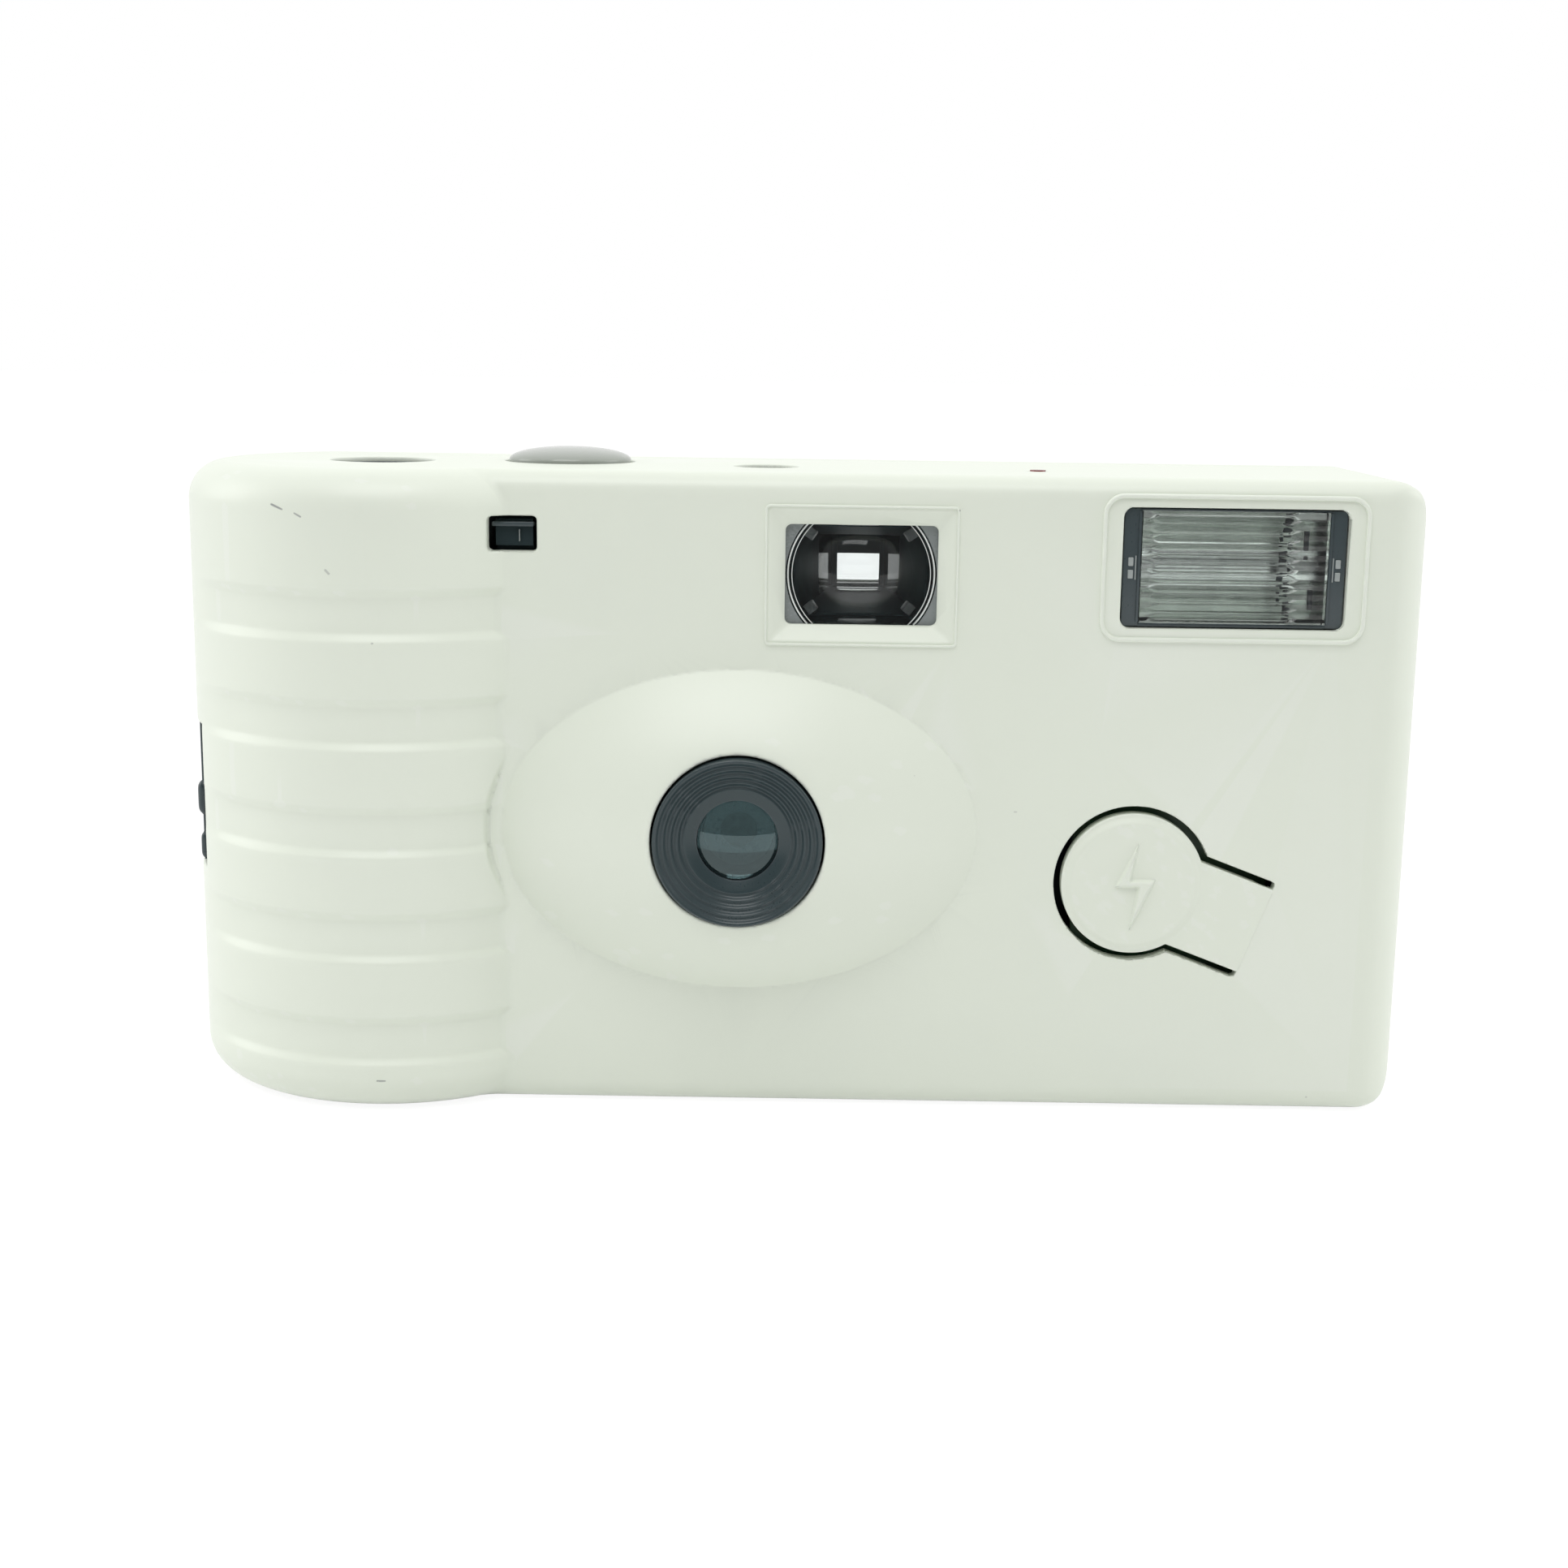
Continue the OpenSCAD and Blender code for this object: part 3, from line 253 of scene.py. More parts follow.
def startMaterial(name):
    material = bpy.data.materials.new(name)
    material.use_nodes = True
    tree = material.node_tree
    where = addNode(tree, "ShaderNodeTexCoord").outputs["Object"]
    return material, tree, tree.nodes["Principled BSDF"], where


def bumpInto(tree, shader, height, strength, distance):
    bump = addNode(tree, "ShaderNodeBump")
    bump.inputs["Strength"].default_value = strength
    bump.inputs["Distance"].default_value = distance
    tree.links.new(height, bump.inputs["Height"])
    tree.links.new(bump.outputs["Normal"], shader.inputs["Normal"])


def mouldedPlastic(name, look):
    # satin or matt moulded plastic with grain, lighter rims (wear and painted highlight), darker hollows
    # (dust and painted shade), smudges and specks
    material, tree, shader, where = startMaterial(name)
    grain = placeGroup(tree, mouldGrain, Vector=where, Scale=look["grainScale"], Shine=look["roughness"],
                       Drift=look["drift"])
    marks = placeGroup(tree, handlingMarks, Vector=where, Smudge=look["smudge"], Specks=look["specks"])
    rimsAndHollows = placeGroup(tree, rimLightAndHollowShade, Low=0.505, High=0.57)
    colour = mixColour(tree, marks.outputs["Smudge"], look["colour"], look["smudgeColour"])
    # painted highlight, together with wear, on sharp rims
    rimWearLightShare = maths(tree, "MULTIPLY", rimsAndHollows.outputs["RimWearLight"], look["rim"])
    colour = mixColour(tree, rimWearLightShare, colour, look["rimWearLightColour"])
    # painted shade, together with dust, in hollows
    hollowDustShadeShare = maths(tree, "MULTIPLY", rimsAndHollows.outputs["HollowDustShade"], look["hollow"])
    colour = mixColour(tree, hollowDustShadeShare, colour, look["hollowDustShadeColour"])
    colour = mixColour(tree, marks.outputs["Specks"], colour, look["speckColour"])
    for start, end, width, strength in look.get("scuffs", ()):
        along = (Vector(end) - Vector(start)) * mm
        mark = placeGroup(tree, hairMark, Vector=where, Start=Vector(start) * mm, Along=along,
                          Inverse=along / along.length_squared, Width=width * mm, Strength=strength)
        colour = mixColour(tree, mark.outputs["Mask"], colour, look["speckColour"])
    tree.links.new(colour, shader.inputs["Base Color"])
    tree.links.new(grain.outputs["Roughness"], shader.inputs["Roughness"])
    bumpInto(tree, shader, grain.outputs["Height"], look["bump"], look["bumpDistance"])
    shader.inputs["IOR"].default_value = look["ior"]
    return material


def clearPlastic(name, look):
    # clear moulded lens plastic with faint flow ripples and haze
    material, tree, shader, where = startMaterial(name)
    shader.inputs["Base Color"].default_value = look["colour"]
    shader.inputs["Transmission Weight"].default_value = 1.0
    shader.inputs["IOR"].default_value = look["ior"]
    shader.inputs["Specular Tint"].default_value = look.get("tint", (1, 1, 1, 1))
    haze = noise(tree, where, look["hazeScale"])
    rough = spread(tree, haze, 0.35, 0.8, look["roughness"] * 0.5, look["roughness"] * 1.6)
    tree.links.new(rough, shader.inputs["Roughness"])
    bumpInto(tree, shader, noise(tree, where, look["rippleScale"], 2.0), look["bump"], 0.00001)
    return material


def drawnMetal(name, look):
    # drawn or plated metal with fine lines along one axis and small dull patches
    material, tree, shader, where = startMaterial(name)
    stretch = addNode(tree, "ShaderNodeMapping")
    stretch.inputs["Scale"].default_value = look["stretch"]
    tree.links.new(where, stretch.inputs["Vector"])
    lines = noise(tree, stretch.outputs["Vector"], look["lineScale"])
    patches = spread(tree, noise(tree, where, 400.0), 0.4, 0.75)
    tree.links.new(mixColour(tree, patches, look["colour"], look["dull"]), shader.inputs["Base Color"])
    shader.inputs["Metallic"].default_value = 1.0
    rough = spread(tree, lines, 0.3, 0.75, look["roughness"] * 0.7, look["roughness"] * 1.5)
    tree.links.new(rough, shader.inputs["Roughness"])
    bumpInto(tree, shader, lines, look["bump"], look["bumpDistance"])
    return material


# scratches and dirt seen in the photograph: start, end, width and strength
scuffs = (
    ((-46.9, -14.8, 56.8), (-45.9, -15.3, 56.4), 0.14, 0.74),
    ((-44.7, -15.7, 56.1), (-44.1, -15.8, 55.8), 0.12, 0.61),
    ((-38.1, -16.5, 57.5), (-37.6, -16.5, 57.4), 0.12, 0.47),
    ((-41.9, -16.3, 51.1), (-41.6, -16.3, 50.8), 0.16, 0.41),
    ((-38.3, -16.5, 3.3), (-37.6, -16.5, 3.3), 0.14, 0.68),
    ((-37.9, -16.5, 44.6), (-37.8, -16.5, 44.6), 0.14, 0.54),
    ((-8.6, -12.0, 50.9), (-8.0, -12.0, 49.7), 0.09, 0.74),
    ((20.9, -12.0, 29.0), (21.1, -12.0, 29.0), 0.17, 0.81),
    ((54.4, -12.0, 3.3), (54.7, -12.0, 3.2), 0.18, 0.54),
    ((15.0, -12.0, 56.9), (15.3, -12.0, 57.1), 0.14, 0.81),
    ((53.7, -12.0, 48.0), (53.9, -12.0, 47.4), 0.09, 0.61),
)
# rim and hollow set how far painted highlight with wear lightens sharp rims and painted shade with dust
# darkens hollows
white = dict(colour=(0.790, 0.838, 0.735, 1), roughness=0.36, drift=0.08, grainScale=5200.0, bump=0.10,
             bumpDistance=0.00002, smudge=0.16, smudgeColour=(0.72, 0.765, 0.70, 1), specks=0.25,
             speckColour=(0.16, 0.17, 0.18, 1), rim=0.25, rimWearLightColour=(0.86, 0.885, 0.84, 1), hollow=0.35,
             hollowDustShadeColour=(0.57, 0.61, 0.55, 1), ior=1.49, scuffs=scuffs)
plain = dict(white, scuffs=())
matt = dict(colour=(0.027, 0.046, 0.051, 1), roughness=0.30, drift=0.10, grainScale=4200.0, bump=0.14,
            bumpDistance=0.00003, smudge=0.35, smudgeColour=(0.042, 0.056, 0.061, 1), specks=0.3,
            speckColour=(0.22, 0.23, 0.24, 1), rim=0.35, rimWearLightColour=(0.085, 0.10, 0.108, 1), hollow=0.4,
            hollowDustShadeColour=(0.014, 0.018, 0.021, 1), ior=1.5)


def tone(base, colour, roughness, smudge=None, rimWearLightTone=None, **more):
    # one of the looks above in another colour
    look = dict(base, colour=(*colour, 1), roughness=roughness, **more)
    for key, value in (("smudgeColour", smudge), ("rimWearLightColour", rimWearLightTone)):
        if value:
            look[key] = (*value, 1)
    return look


plastics = {
    "white_shell": ("whiteShell", white),
    "grey_button": ("greyButton", tone(plain, (0.36, 0.385, 0.35), 0.14, (0.38, 0.40, 0.37),
        (0.52, 0.54, 0.51), bump=0.04)),
    "black_plastic": ("blackPlastic", matt),
    "dark_plastic": ("darkPlastic", tone(matt, (0.075, 0.083, 0.088), 0.5, (0.10, 0.108, 0.114),
        (0.14, 0.15, 0.155))),
    "ivory_plastic": ("ivoryPlastic", tone(plain, (0.74, 0.71, 0.60), 0.45, (0.66, 0.62, 0.50))),
    "board_green": ("boardGreen", tone(matt, (0.030, 0.16, 0.075), 0.35, (0.06, 0.22, 0.11),
        (0.36, 0.33, 0.20), grainScale=2200.0)),
    "blue_sleeve": ("blueSleeve", tone(matt, (0.022, 0.038, 0.12), 0.25, (0.035, 0.06, 0.17))),
    "red_pipe": ("redPipe", tone(matt, (0.22, 0.035, 0.025), 0.2, (0.30, 0.05, 0.035))),
    "battery_sleeve": ("batterySleeve", tone(matt, (0.085, 0.095, 0.115), 0.28, (0.13, 0.14, 0.16),
        (0.42, 0.42, 0.43))),
    "cassette_paint": ("cassettePaint", tone(matt, (0.33, 0.33, 0.31), 0.3, (0.40, 0.40, 0.38),
        (0.55, 0.55, 0.54))),
    "film_base": ("filmBase", tone(matt, (0.105, 0.050, 0.026), 0.22, (0.14, 0.07, 0.04))),
}
clearKeys = ("colour", "ior", "roughness", "hazeScale", "rippleScale", "bump")
clears = {
    "clear_lens": ("clearLens", (0.96, 0.985, 0.98, 1), 1.49, 0.02, 300.0, 220.0, 0.03),
    "flash_glass": ("flashGlass", (0.97, 0.98, 0.98, 1), 1.47, 0.03, 500.0, 300.0, 0.04),
    "lamp_glass": ("lampGlass", (0.95, 0.62, 0.40, 1), 1.47, 0.05, 700.0, 500.0, 0.05),
}
metalKeys = ("colour", "dull", "roughness", "stretch", "lineScale", "bump", "bumpDistance")
metals = {
    "spring_steel": ("springSteel", (0.58, 0.59, 0.60, 1), (0.45, 0.46, 0.47, 1),
        0.3, (1, 1, 8), 900.0, 0.1, 0.00001),
    "bright_metal": ("brightMetal", (0.74, 0.79, 0.74, 1), (0.64, 0.68, 0.64, 1),
        0.18, (1, 6, 6), 500.0, 0.08, 0.00001),
    "copper_wire": ("copperWire", (0.62, 0.30, 0.12, 1), (0.48, 0.21, 0.08, 1),
        0.35, (1, 1, 20), 260.0, 0.6, 0.00008),
    "copper_strip": ("copperStrip", (0.72, 0.52, 0.24, 1), (0.58, 0.40, 0.18, 1),
        0.25, (6, 1, 1), 600.0, 0.08, 0.00001),
}
finishes = {slotName: mouldedPlastic(name, look) for slotName, (name, look) in plastics.items()}
for maker, keys, rows in ((clearPlastic, clearKeys, clears), (drawnMetal, metalKeys, metals)):
    for slotName, (name, *values) in rows.items():
        finishes[slotName] = maker(name, dict(zip(keys, values)))
glossBlack = mouldedPlastic("glossBlack", tone(matt, (0.022, 0.046, 0.050), 0.09, (0.028, 0.054, 0.060),
        drift=0.04, rim=0.1, bump=0.03))
finderBlack = mouldedPlastic("finderBlack", tone(matt, (0.040, 0.078, 0.084), 0.5, (0.052, 0.092, 0.10),
        rim=0.1, specks=0.1, bump=0.05, ior=1.3))
greyCorner = mouldedPlastic("greyCorner", tone(matt, (0.15, 0.17, 0.17), 0.28, (0.19, 0.21, 0.21),
        (0.4, 0.43, 0.43), bump=0.06))
# pale plastic for the flash clips, also used for the painted glint on the hook catch
paleClip = mouldedPlastic("paleClip", tone(matt, (0.24, 0.27, 0.265), 0.25, (0.13, 0.15, 0.15),
        (0.5, 0.53, 0.52), bump=0.06))
# pale plastic for the arcs at the finder lens edge: frosted cut edge and painted highlight
frostedRimHighlight = mouldedPlastic("frostedRimHighlight", tone(plain, (0.70, 0.74, 0.73), 0.3))
# near black in place of the blade's steel: painted shade behind the lens aperture
bladeShadeBlack = mouldedPlastic("bladeShadeBlack", tone(matt, (0.010, 0.015, 0.017), 0.5))
# darker, duller copy of the black plastic for the inner parts: painted shade inside the body behind the lens
# and hook window
shadedInnerBlack = mouldedPlastic("shadedInnerBlack", tone(matt, (0.011, 0.024, 0.027), 0.55, (0.015, 0.030, 0.034),
        rim=0.1, specks=0.0, bump=0.03, ior=1.25))
lensGlass = clearPlastic("lensGlass", dict(colour=(0.42, 0.58, 0.60, 1), tint=(0.78, 0.98, 1, 1), ior=1.75,
        roughness=0.012, hazeScale=300.0, rippleScale=200.0, bump=0.004))
print("materials made:", len(bpy.data.materials))

slotOf = {entry["node"]: entry["material_slot"] for entry in frame["record"]["subparts"]}


def paint(piece, material):
    piece.data.materials.clear()
    piece.data.materials.append(material)


for nodeName, nodeObject in nodes.items():
    paint(nodeObject, finishes[slotOf[nodeName]])
paint(nodes["finder_tunnel"], glossBlack)
# the shutter blade is painted near black as shade behind the aperture
paint(nodes["shutter_blade"], bladeShadeBlack)
# the inner frame and shutter plate get the darker black as painted shade
for nodeName in ("shutter_plate", "main_frame"):
    paint(nodes[nodeName], shadedInnerBlack)

# moulded edges on the solids that show as they are
edgeLook = {"width": 0.12, "angle": 0.7, "nodes": (
    "wind_wheel", "cassette_door", "main_frame", "shutter_plate", "kick_lever", "release_lever",
    "counter_dial", "cassette_caps", "supply_spool", "flash_board", "transformer", "battery", "light_pipe")}
for nodeName in edgeLook["nodes"]:
    weld = nodes[nodeName].modifiers.new("weld", "WELD")
    weld.merge_threshold = 0.002 * mm
    bevel = nodes[nodeName].modifiers.new("bevel", "BEVEL")
    bevel.width, bevel.segments = edgeLook["width"] * mm, 2
    bevel.limit_method, bevel.angle_limit = "ANGLE", edgeLook["angle"]


# small mesh helpers

def newMesh(points, faces):
    mesh = bpy.data.meshes.new("mesh")
    mesh.from_pydata([tuple(c * mm for c in p) for p in points], [], faces)
    mesh.update()
    return mesh


def meshFrom(work, name):
    mesh = bpy.data.meshes.new(name)
    work.to_mesh(mesh)
    work.free()
    return mesh


def cleanMesh(source):
    # joins doubled points and turns all faces outwards
    work = bmesh.new()
    work.from_mesh(source)
    bmesh.ops.remove_doubles(work, verts=work.verts, dist=0.001 * mm)
    bmesh.ops.dissolve_degenerate(work, edges=work.edges, dist=0.0005 * mm)
    bmesh.ops.recalc_face_normals(work, faces=work.faces)
    return meshFrom(work, "clean")


def gridFaces(rows, columns, closed=True):
    # skin of a tube: columns run round it, and its rows may close on themselves
    faces = []
    for i in range(rows if closed else rows - 1):
        a, b = i * columns, (i + 1) % rows * columns
        faces += [(a + j, a + (j + 1) % columns, b + (j + 1) % columns, b + j) for j in range(columns)]
    return faces


def turned(profile, centre, axis, count=128):
    # closed ring or solid made by turning radius and height pairs round an axis through centre
    points = []
    for i in range(count):
        angle = 2 * math.pi * i / count
        for radius, height in profile:
            a, b = radius * math.cos(angle), radius * math.sin(angle)
            if axis == "y":
                points.append((centre[0] + a, height, centre[1] + b))
            else:
                points.append((centre[0] + a, centre[1] + b, height))
    return cleanMesh(newMesh(points, gridFaces(count, len(profile))))


def arcPoints(cx, cy, r, start, end, count):
    return [(cx + r * math.cos(math.radians(start + (end - start) * i / count)),
             cy + r * math.sin(math.radians(start + (end - start) * i / count))) for i in range(count + 1)]


def joined(meshes):
    work = bmesh.new()
    for mesh in meshes:
        work.from_mesh(mesh)
    return meshFrom(work, "joined")


def softBox(low, high, rounding, turn=None):
    # box with rounded edges between two corners, optionally turned about its middle
    work = bmesh.new()
    bmesh.ops.create_cube(work, size=1.0)
    size = [abs(b - a) * mm for a, b in zip(low, high)]
    centre = [(a + b) / 2 * mm for a, b in zip(low, high)]
    bmesh.ops.scale(work, vec=size, verts=work.verts)
    bmesh.ops.bevel(work, geom=work.edges, offset=rounding * mm, segments=3, profile=0.5, affect="EDGES")
    if turn:
        bmesh.ops.rotate(work, matrix=turn, verts=work.verts)
    bmesh.ops.translate(work, vec=centre, verts=work.verts)
    return meshFrom(work, "softBox")


def bar(x, halfX, near, far, z, halfZ, rounding, turn=None):
    # soft box given by its middle and half sizes across and up, and its two ends in depth
    return softBox((x - halfX, near, z - halfZ), (x + halfX, far, z + halfZ), rounding, turn)


# shells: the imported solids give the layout, a distance field gives smooth moulded surfaces

def roundRect(x, z, halfW, halfH, r):
    qx, qz = np.abs(x) - halfW + r, np.abs(z) - halfH + r
    return np.minimum(np.maximum(qx, qz), 0) + np.hypot(np.maximum(qx, 0), np.maximum(qz, 0)) - r


def roundJoin(a, b, r):
    # space behind two faces whose common edge is round
    qa, qb = a + r, b + r
    return np.minimum(np.maximum(qa, qb), 0) + np.hypot(np.maximum(qa, 0), np.maximum(qb, 0)) - r


def softMin(a, b, k):
    h = np.maximum(k - np.abs(a - b), 0) / k
    return np.minimum(a, b) - h * h * k * 0.25


def softMax(a, b, k):
    return -softMin(-a, -b, k)


def ramp(value, low, high):
    t = np.clip((value - low) / (high - low), 0, 1)
    return t * t * (3 - 2 * t)


def ovalDistance(x, z, a, b):
    k0, k1 = np.hypot(x / a, z / b), np.hypot(x / a ** 2, z / b ** 2)
    return np.where(k1 > 1e-9, k0 * (k0 - 1) / np.maximum(k1, 1e-9), -min(a, b))


def tonguePlace(x, z):
    turn = math.radians(tongue["turn"])
    dx, dz = x - tongue["x"], z - tongue["z"]
    return dx * math.cos(turn) - dz * math.sin(turn), dx * math.sin(turn) + dz * math.cos(turn)


def tongueOutline(u, v, radius, half, length):
    tail = np.maximum(np.maximum(-u, u - length), np.abs(v) - half)
    return np.minimum(np.hypot(u, v) - radius, tail)


def gripDistance(x, y, z, inset):
    dx, dy = x - grip["x"], y - grip["y"]
    height = np.abs(z - body["top"] / 2) - body["top"] / 2 + inset
    reach = grip["radius"] - inset
    if inset == 0:
        turn = np.degrees(np.arctan2(dy, dx))
        groove = np.zeros_like(x)
        for level in grip["grooves"]:
            off = np.abs(z - level) - grip["grooveHalf"]
            groove = np.maximum(groove, 1 - ramp(off, -grip["ramp"], grip["ramp"]))
        groove *= ramp(turn, grip["startDeg"], grip["fullDeg"])
        groove *= 1 - ramp(turn, grip["endDeg"] - 0.5, grip["endDeg"] + 0.5)
        reach = reach - grip["grooveDepth"] * groove
    return roundJoin(np.hypot(dx, dy) - reach, height, grip["endRound"] - inset)


def blockDistance(x, y, z, inset, front):
    # flat-panel half of the body; its right front edge is rounder than the others
    low = grip["x"] - 1 + (2 if inset else 0)
    high = body["right"] - inset
    outline = roundRect(x - (low + high) / 2, z - body["top"] / 2, (high - low) / 2,
                        body["top"] / 2 - inset, body["corner"] - inset)
    depth = body["panel"] + inset - y if front else y - body["back"] + inset
    solid = roundJoin(outline, depth, 0.7 if inset else body["edge"])
    if front:
        solid = softMax(solid, roundJoin(x - high, depth, body["side"] - inset), 0.5)
    return solid


def domeDistance(x, y, z, shrink, rise):
    dx, dz = x - dome["x"], z - dome["z"]
    a, b = dome["halfW"] - shrink, dome["halfH"] - shrink
    share = np.hypot(dx / a, dz / b)
    surface = body["panel"] - rise * (1 - np.minimum(share, 1.2) ** dome["power"])
    slope = rise * dome["power"] * share ** (dome["power"] - 1) / b
    return np.maximum((surface - y) / np.sqrt(1 + slope ** 2), ovalDistance(dx, dz, a, b))


# rounding of each edge of the front cover, and a distance beyond any cut
frontEdges = {"join": 0.3, "dome": 0.14, "inside": 0.2, "finder": 0.08, "flash": 0.12, "slot": 0.08,
              "hook": 0.22, "top": 0.18, "flap": 0.2}
farOff = 99.0


def strapPlace(x, y):
    turn = math.radians(strap["turn"])
    dx, dy = x - grip["x"], y - grip["y"]
    return dx * math.cos(turn) + dy * math.sin(turn), dy * math.cos(turn) - dx * math.sin(turn)


def frontDistance(p):
    edge = frontEdges
    x, y, z = p[:, 0], p[:, 1], p[:, 2]
    panel, inner = body["panel"], body["panel"] + body["wall"]
    frontOnly = np.where(y < inner + 1, 0.0, farOff)
    topOnly = np.where(z > body["top"] - body["wall"] - 1, 0.0, farOff)
    dx, dz = x - dome["x"], z - dome["z"]
    scallop = ovalDistance(dx, dz, dome["halfW"] + dome["scallop"], dome["halfH"] + dome["scallop"])
    barrel = softMax(gripDistance(x, y, z, 0), -np.maximum(scallop, y - panel), edge["join"])
    solid = softMin(blockDistance(x, y, z, 0, True), barrel, edge["join"])
    solid = softMin(solid, domeDistance(x, y, z, 0, dome["rise"]), edge["dome"])
    solid = np.maximum(solid, np.abs(z - body["top"] / 2) - body["top"] / 2)
    solid = softMax(solid, y - body["seam"], edge["join"])
    hollow = np.minimum(blockDistance(x, y, z, body["wall"], True), gripDistance(x, y, z, body["wall"]))
    cave = np.maximum(domeDistance(x, y, z, dome["skin"], dome["rise"] - dome["skinRise"]), y - inner - 1)
    solid = softMax(solid, -np.minimum(hollow, cave), edge["inside"])
    solid = softMax(solid, -(np.hypot(dx, dz) - dome["hole"] + frontOnly), edge["join"])
    share = np.clip((y - panel) / finder["land"], -0.8, 1)
    bevel, (tip, grow) = finder["bevel"] * (1 - share), finder["corner"]
    slope = roundRect(x - finder["x"], z - finder["z"], finder["w"] / 2 + bevel, finder["h"] / 2 + bevel,
                      tip + grow * np.maximum(share, 0))
    solid = softMax(solid, -(slope * finder["steep"] + frontOnly), edge["finder"])
    window = roundRect(x - flash["x"], z - flash["z"], flash["w"] / 2 + flash["room"], flash["h"] / 2,
                       flash["corner"])
    solid = softMax(solid, -(window + frontOnly), edge["flash"])
    u, v = tonguePlace(x, z)
    gap = tongue["slot"] + tongue["widen"]
    slot = tongueOutline(u, v, tongue["radius"] + gap, tongue["half"] + gap, tongue["length"])
    cut = -(slot + frontOnly)
    solid = np.where(u > tongue["length"] - 0.4, np.maximum(solid, cut), softMax(solid, cut, edge["slot"]))
    hole = roundRect(x - hook["x"], z - hook["z"], hook["w"] / 2, hook["h"] / 2, hook["corner"])
    solid = softMax(solid, -(hole + frontOnly), edge["hook"])
    for place in (press, wheel, counter, lamp):
        hole = np.hypot(x - place["x"], y - place["y"]) - place["hole"]
        solid = softMax(solid, -(hole + topOnly), edge["top"])
    along, across = strapPlace(x, y)
    recess = np.maximum(np.abs(across) - strap["halfW"], np.abs(z - strap["z"]) - strap["halfH"])
    solid = softMax(solid, -np.maximum(recess, strap["floor"] - along), edge["join"])
    baseOnly = np.where(z < body["wall"] + 1, 0.0, farOff)
    flap = np.hypot(x - wheel["x"], y - wheel["y"]) - wheel["flap"]
    return softMax(solid, -(flap + baseOnly), edge["flap"])


# back: bare label field, thumb ribs, film rails inside, eyepiece and wheel openings
backLook = {"label": (12.5, 23.5, 34.0, 15.5), "labelRound": 2.5, "labelDeep": 0.35, "labelSlope": 0.7,
            "ribs": 4, "ribLow": 40.5, "ribPitch": 2.0, "ribHalf": 8.5, "ribShrink": 0.8, "ribRound": 0.45,
            "rails": (-15.5, 15.5), "railHalf": 16, "bevel": 0.9, "steep": 0.7, "eye": (4.8, 3.7),
            "slot": (9.0, 2.35), "slotZ": 53.55}
backEdges = {"join": 0.4, "seam": 0.3, "inside": 0.2, "rib": 0.2, "eye": 0.12, "slot": 0.2}


def backDistance(p):
    look, edge = backLook, backEdges
    x, y, z = p[:, 0], p[:, 1], p[:, 2]
    inner = body["back"] - body["wall"]
    barrel = np.maximum(gripDistance(x, y, z, 0), y - body["back"])
    solid = softMin(blockDistance(x, y, z, 0, False), barrel, edge["join"])
    solid = np.maximum(solid, np.maximum(np.abs(z - body["top"] / 2) - body["top"] / 2, y - body["back"]))
    solid = softMax(solid, body["seam"] - y, edge["seam"])
    hollow = np.maximum(gripDistance(x, y, z, body["wall"]), y - inner)
    hollow = np.minimum(blockDistance(x, y, z, body["wall"], False), hollow)
    solid = softMax(solid, -hollow, edge["inside"])
    for level in look["rails"]:
        rail = np.maximum(np.abs(x - dome["x"]) - look["railHalf"], np.abs(z - dome["z"] - level) - 0.6)
        solid = np.minimum(solid, np.maximum(rail, np.abs(y - inner + 0.5) - 0.5))
    backOnly = np.where(y > inner - 1, 0.0, farOff)
    labelX, labelZ, halfW, halfH = look["label"]
    label = roundRect(x - labelX, z - labelZ, halfW, halfH, look["labelRound"])
    sunk = look["labelDeep"] * (1 - ramp(label, -look["labelSlope"], 0))
    solid = np.maximum(solid, y - body["back"] + sunk)
    for k in range(look["ribs"]):
        level = look["ribLow"] + look["ribPitch"] * k
        reach = np.maximum(np.abs(x - wheel["x"]) - look["ribHalf"] + look["ribShrink"] * k, 0)
        rib = np.sqrt(reach ** 2 + (z - level) ** 2 + (y - body["back"]) ** 2) - look["ribRound"]
        solid = softMin(solid, rib, edge["rib"])
    share = np.clip((body["back"] - y) / look["bevel"], -0.6, 1)
    bevel = look["bevel"] * (1 - share)
    eyeW, eyeH = look["eye"]
    eye = roundRect(x - finder["x"], z - finder["z"], eyeW + bevel, eyeH + bevel, 0.6)
    solid = softMax(solid, -(eye * look["steep"] + backOnly), edge["eye"])
    slotW, slotH = look["slot"]
    slot = roundRect(x - wheel["x"], z - look["slotZ"], slotW + bevel, slotH + 0.7 * bevel, 0.8)
    return softMax(solid, -(slot * look["steep"] + backOnly), edge["slot"])


boltPoints = [(0.46, 4.2), (-1.75, -0.3), (0.35, -0.3), (-0.3, -4.7), (2.1, 0.5), (-0.2, 0.5)]


def boltDistance(x, z):
    best = np.full(x.shape, 1e9)
    inside = np.zeros(x.shape, bool)
    for (ax, az), (bx, bz) in zip(boltPoints, boltPoints[1:] + boltPoints[:1]):
        ex, ez = bx - ax, bz - az
        t = np.clip(((x - ax) * ex + (z - az) * ez) / (ex * ex + ez * ez), 0, 1)
        best = np.minimum(best, np.hypot(x - ax - t * ex, z - az - t * ez))
        if abs(ez) > 1e-9:
            inside ^= ((az > z) != (bz > z)) & (x < ax + (z - az) * ex / ez)
    return np.where(inside, -best, best)


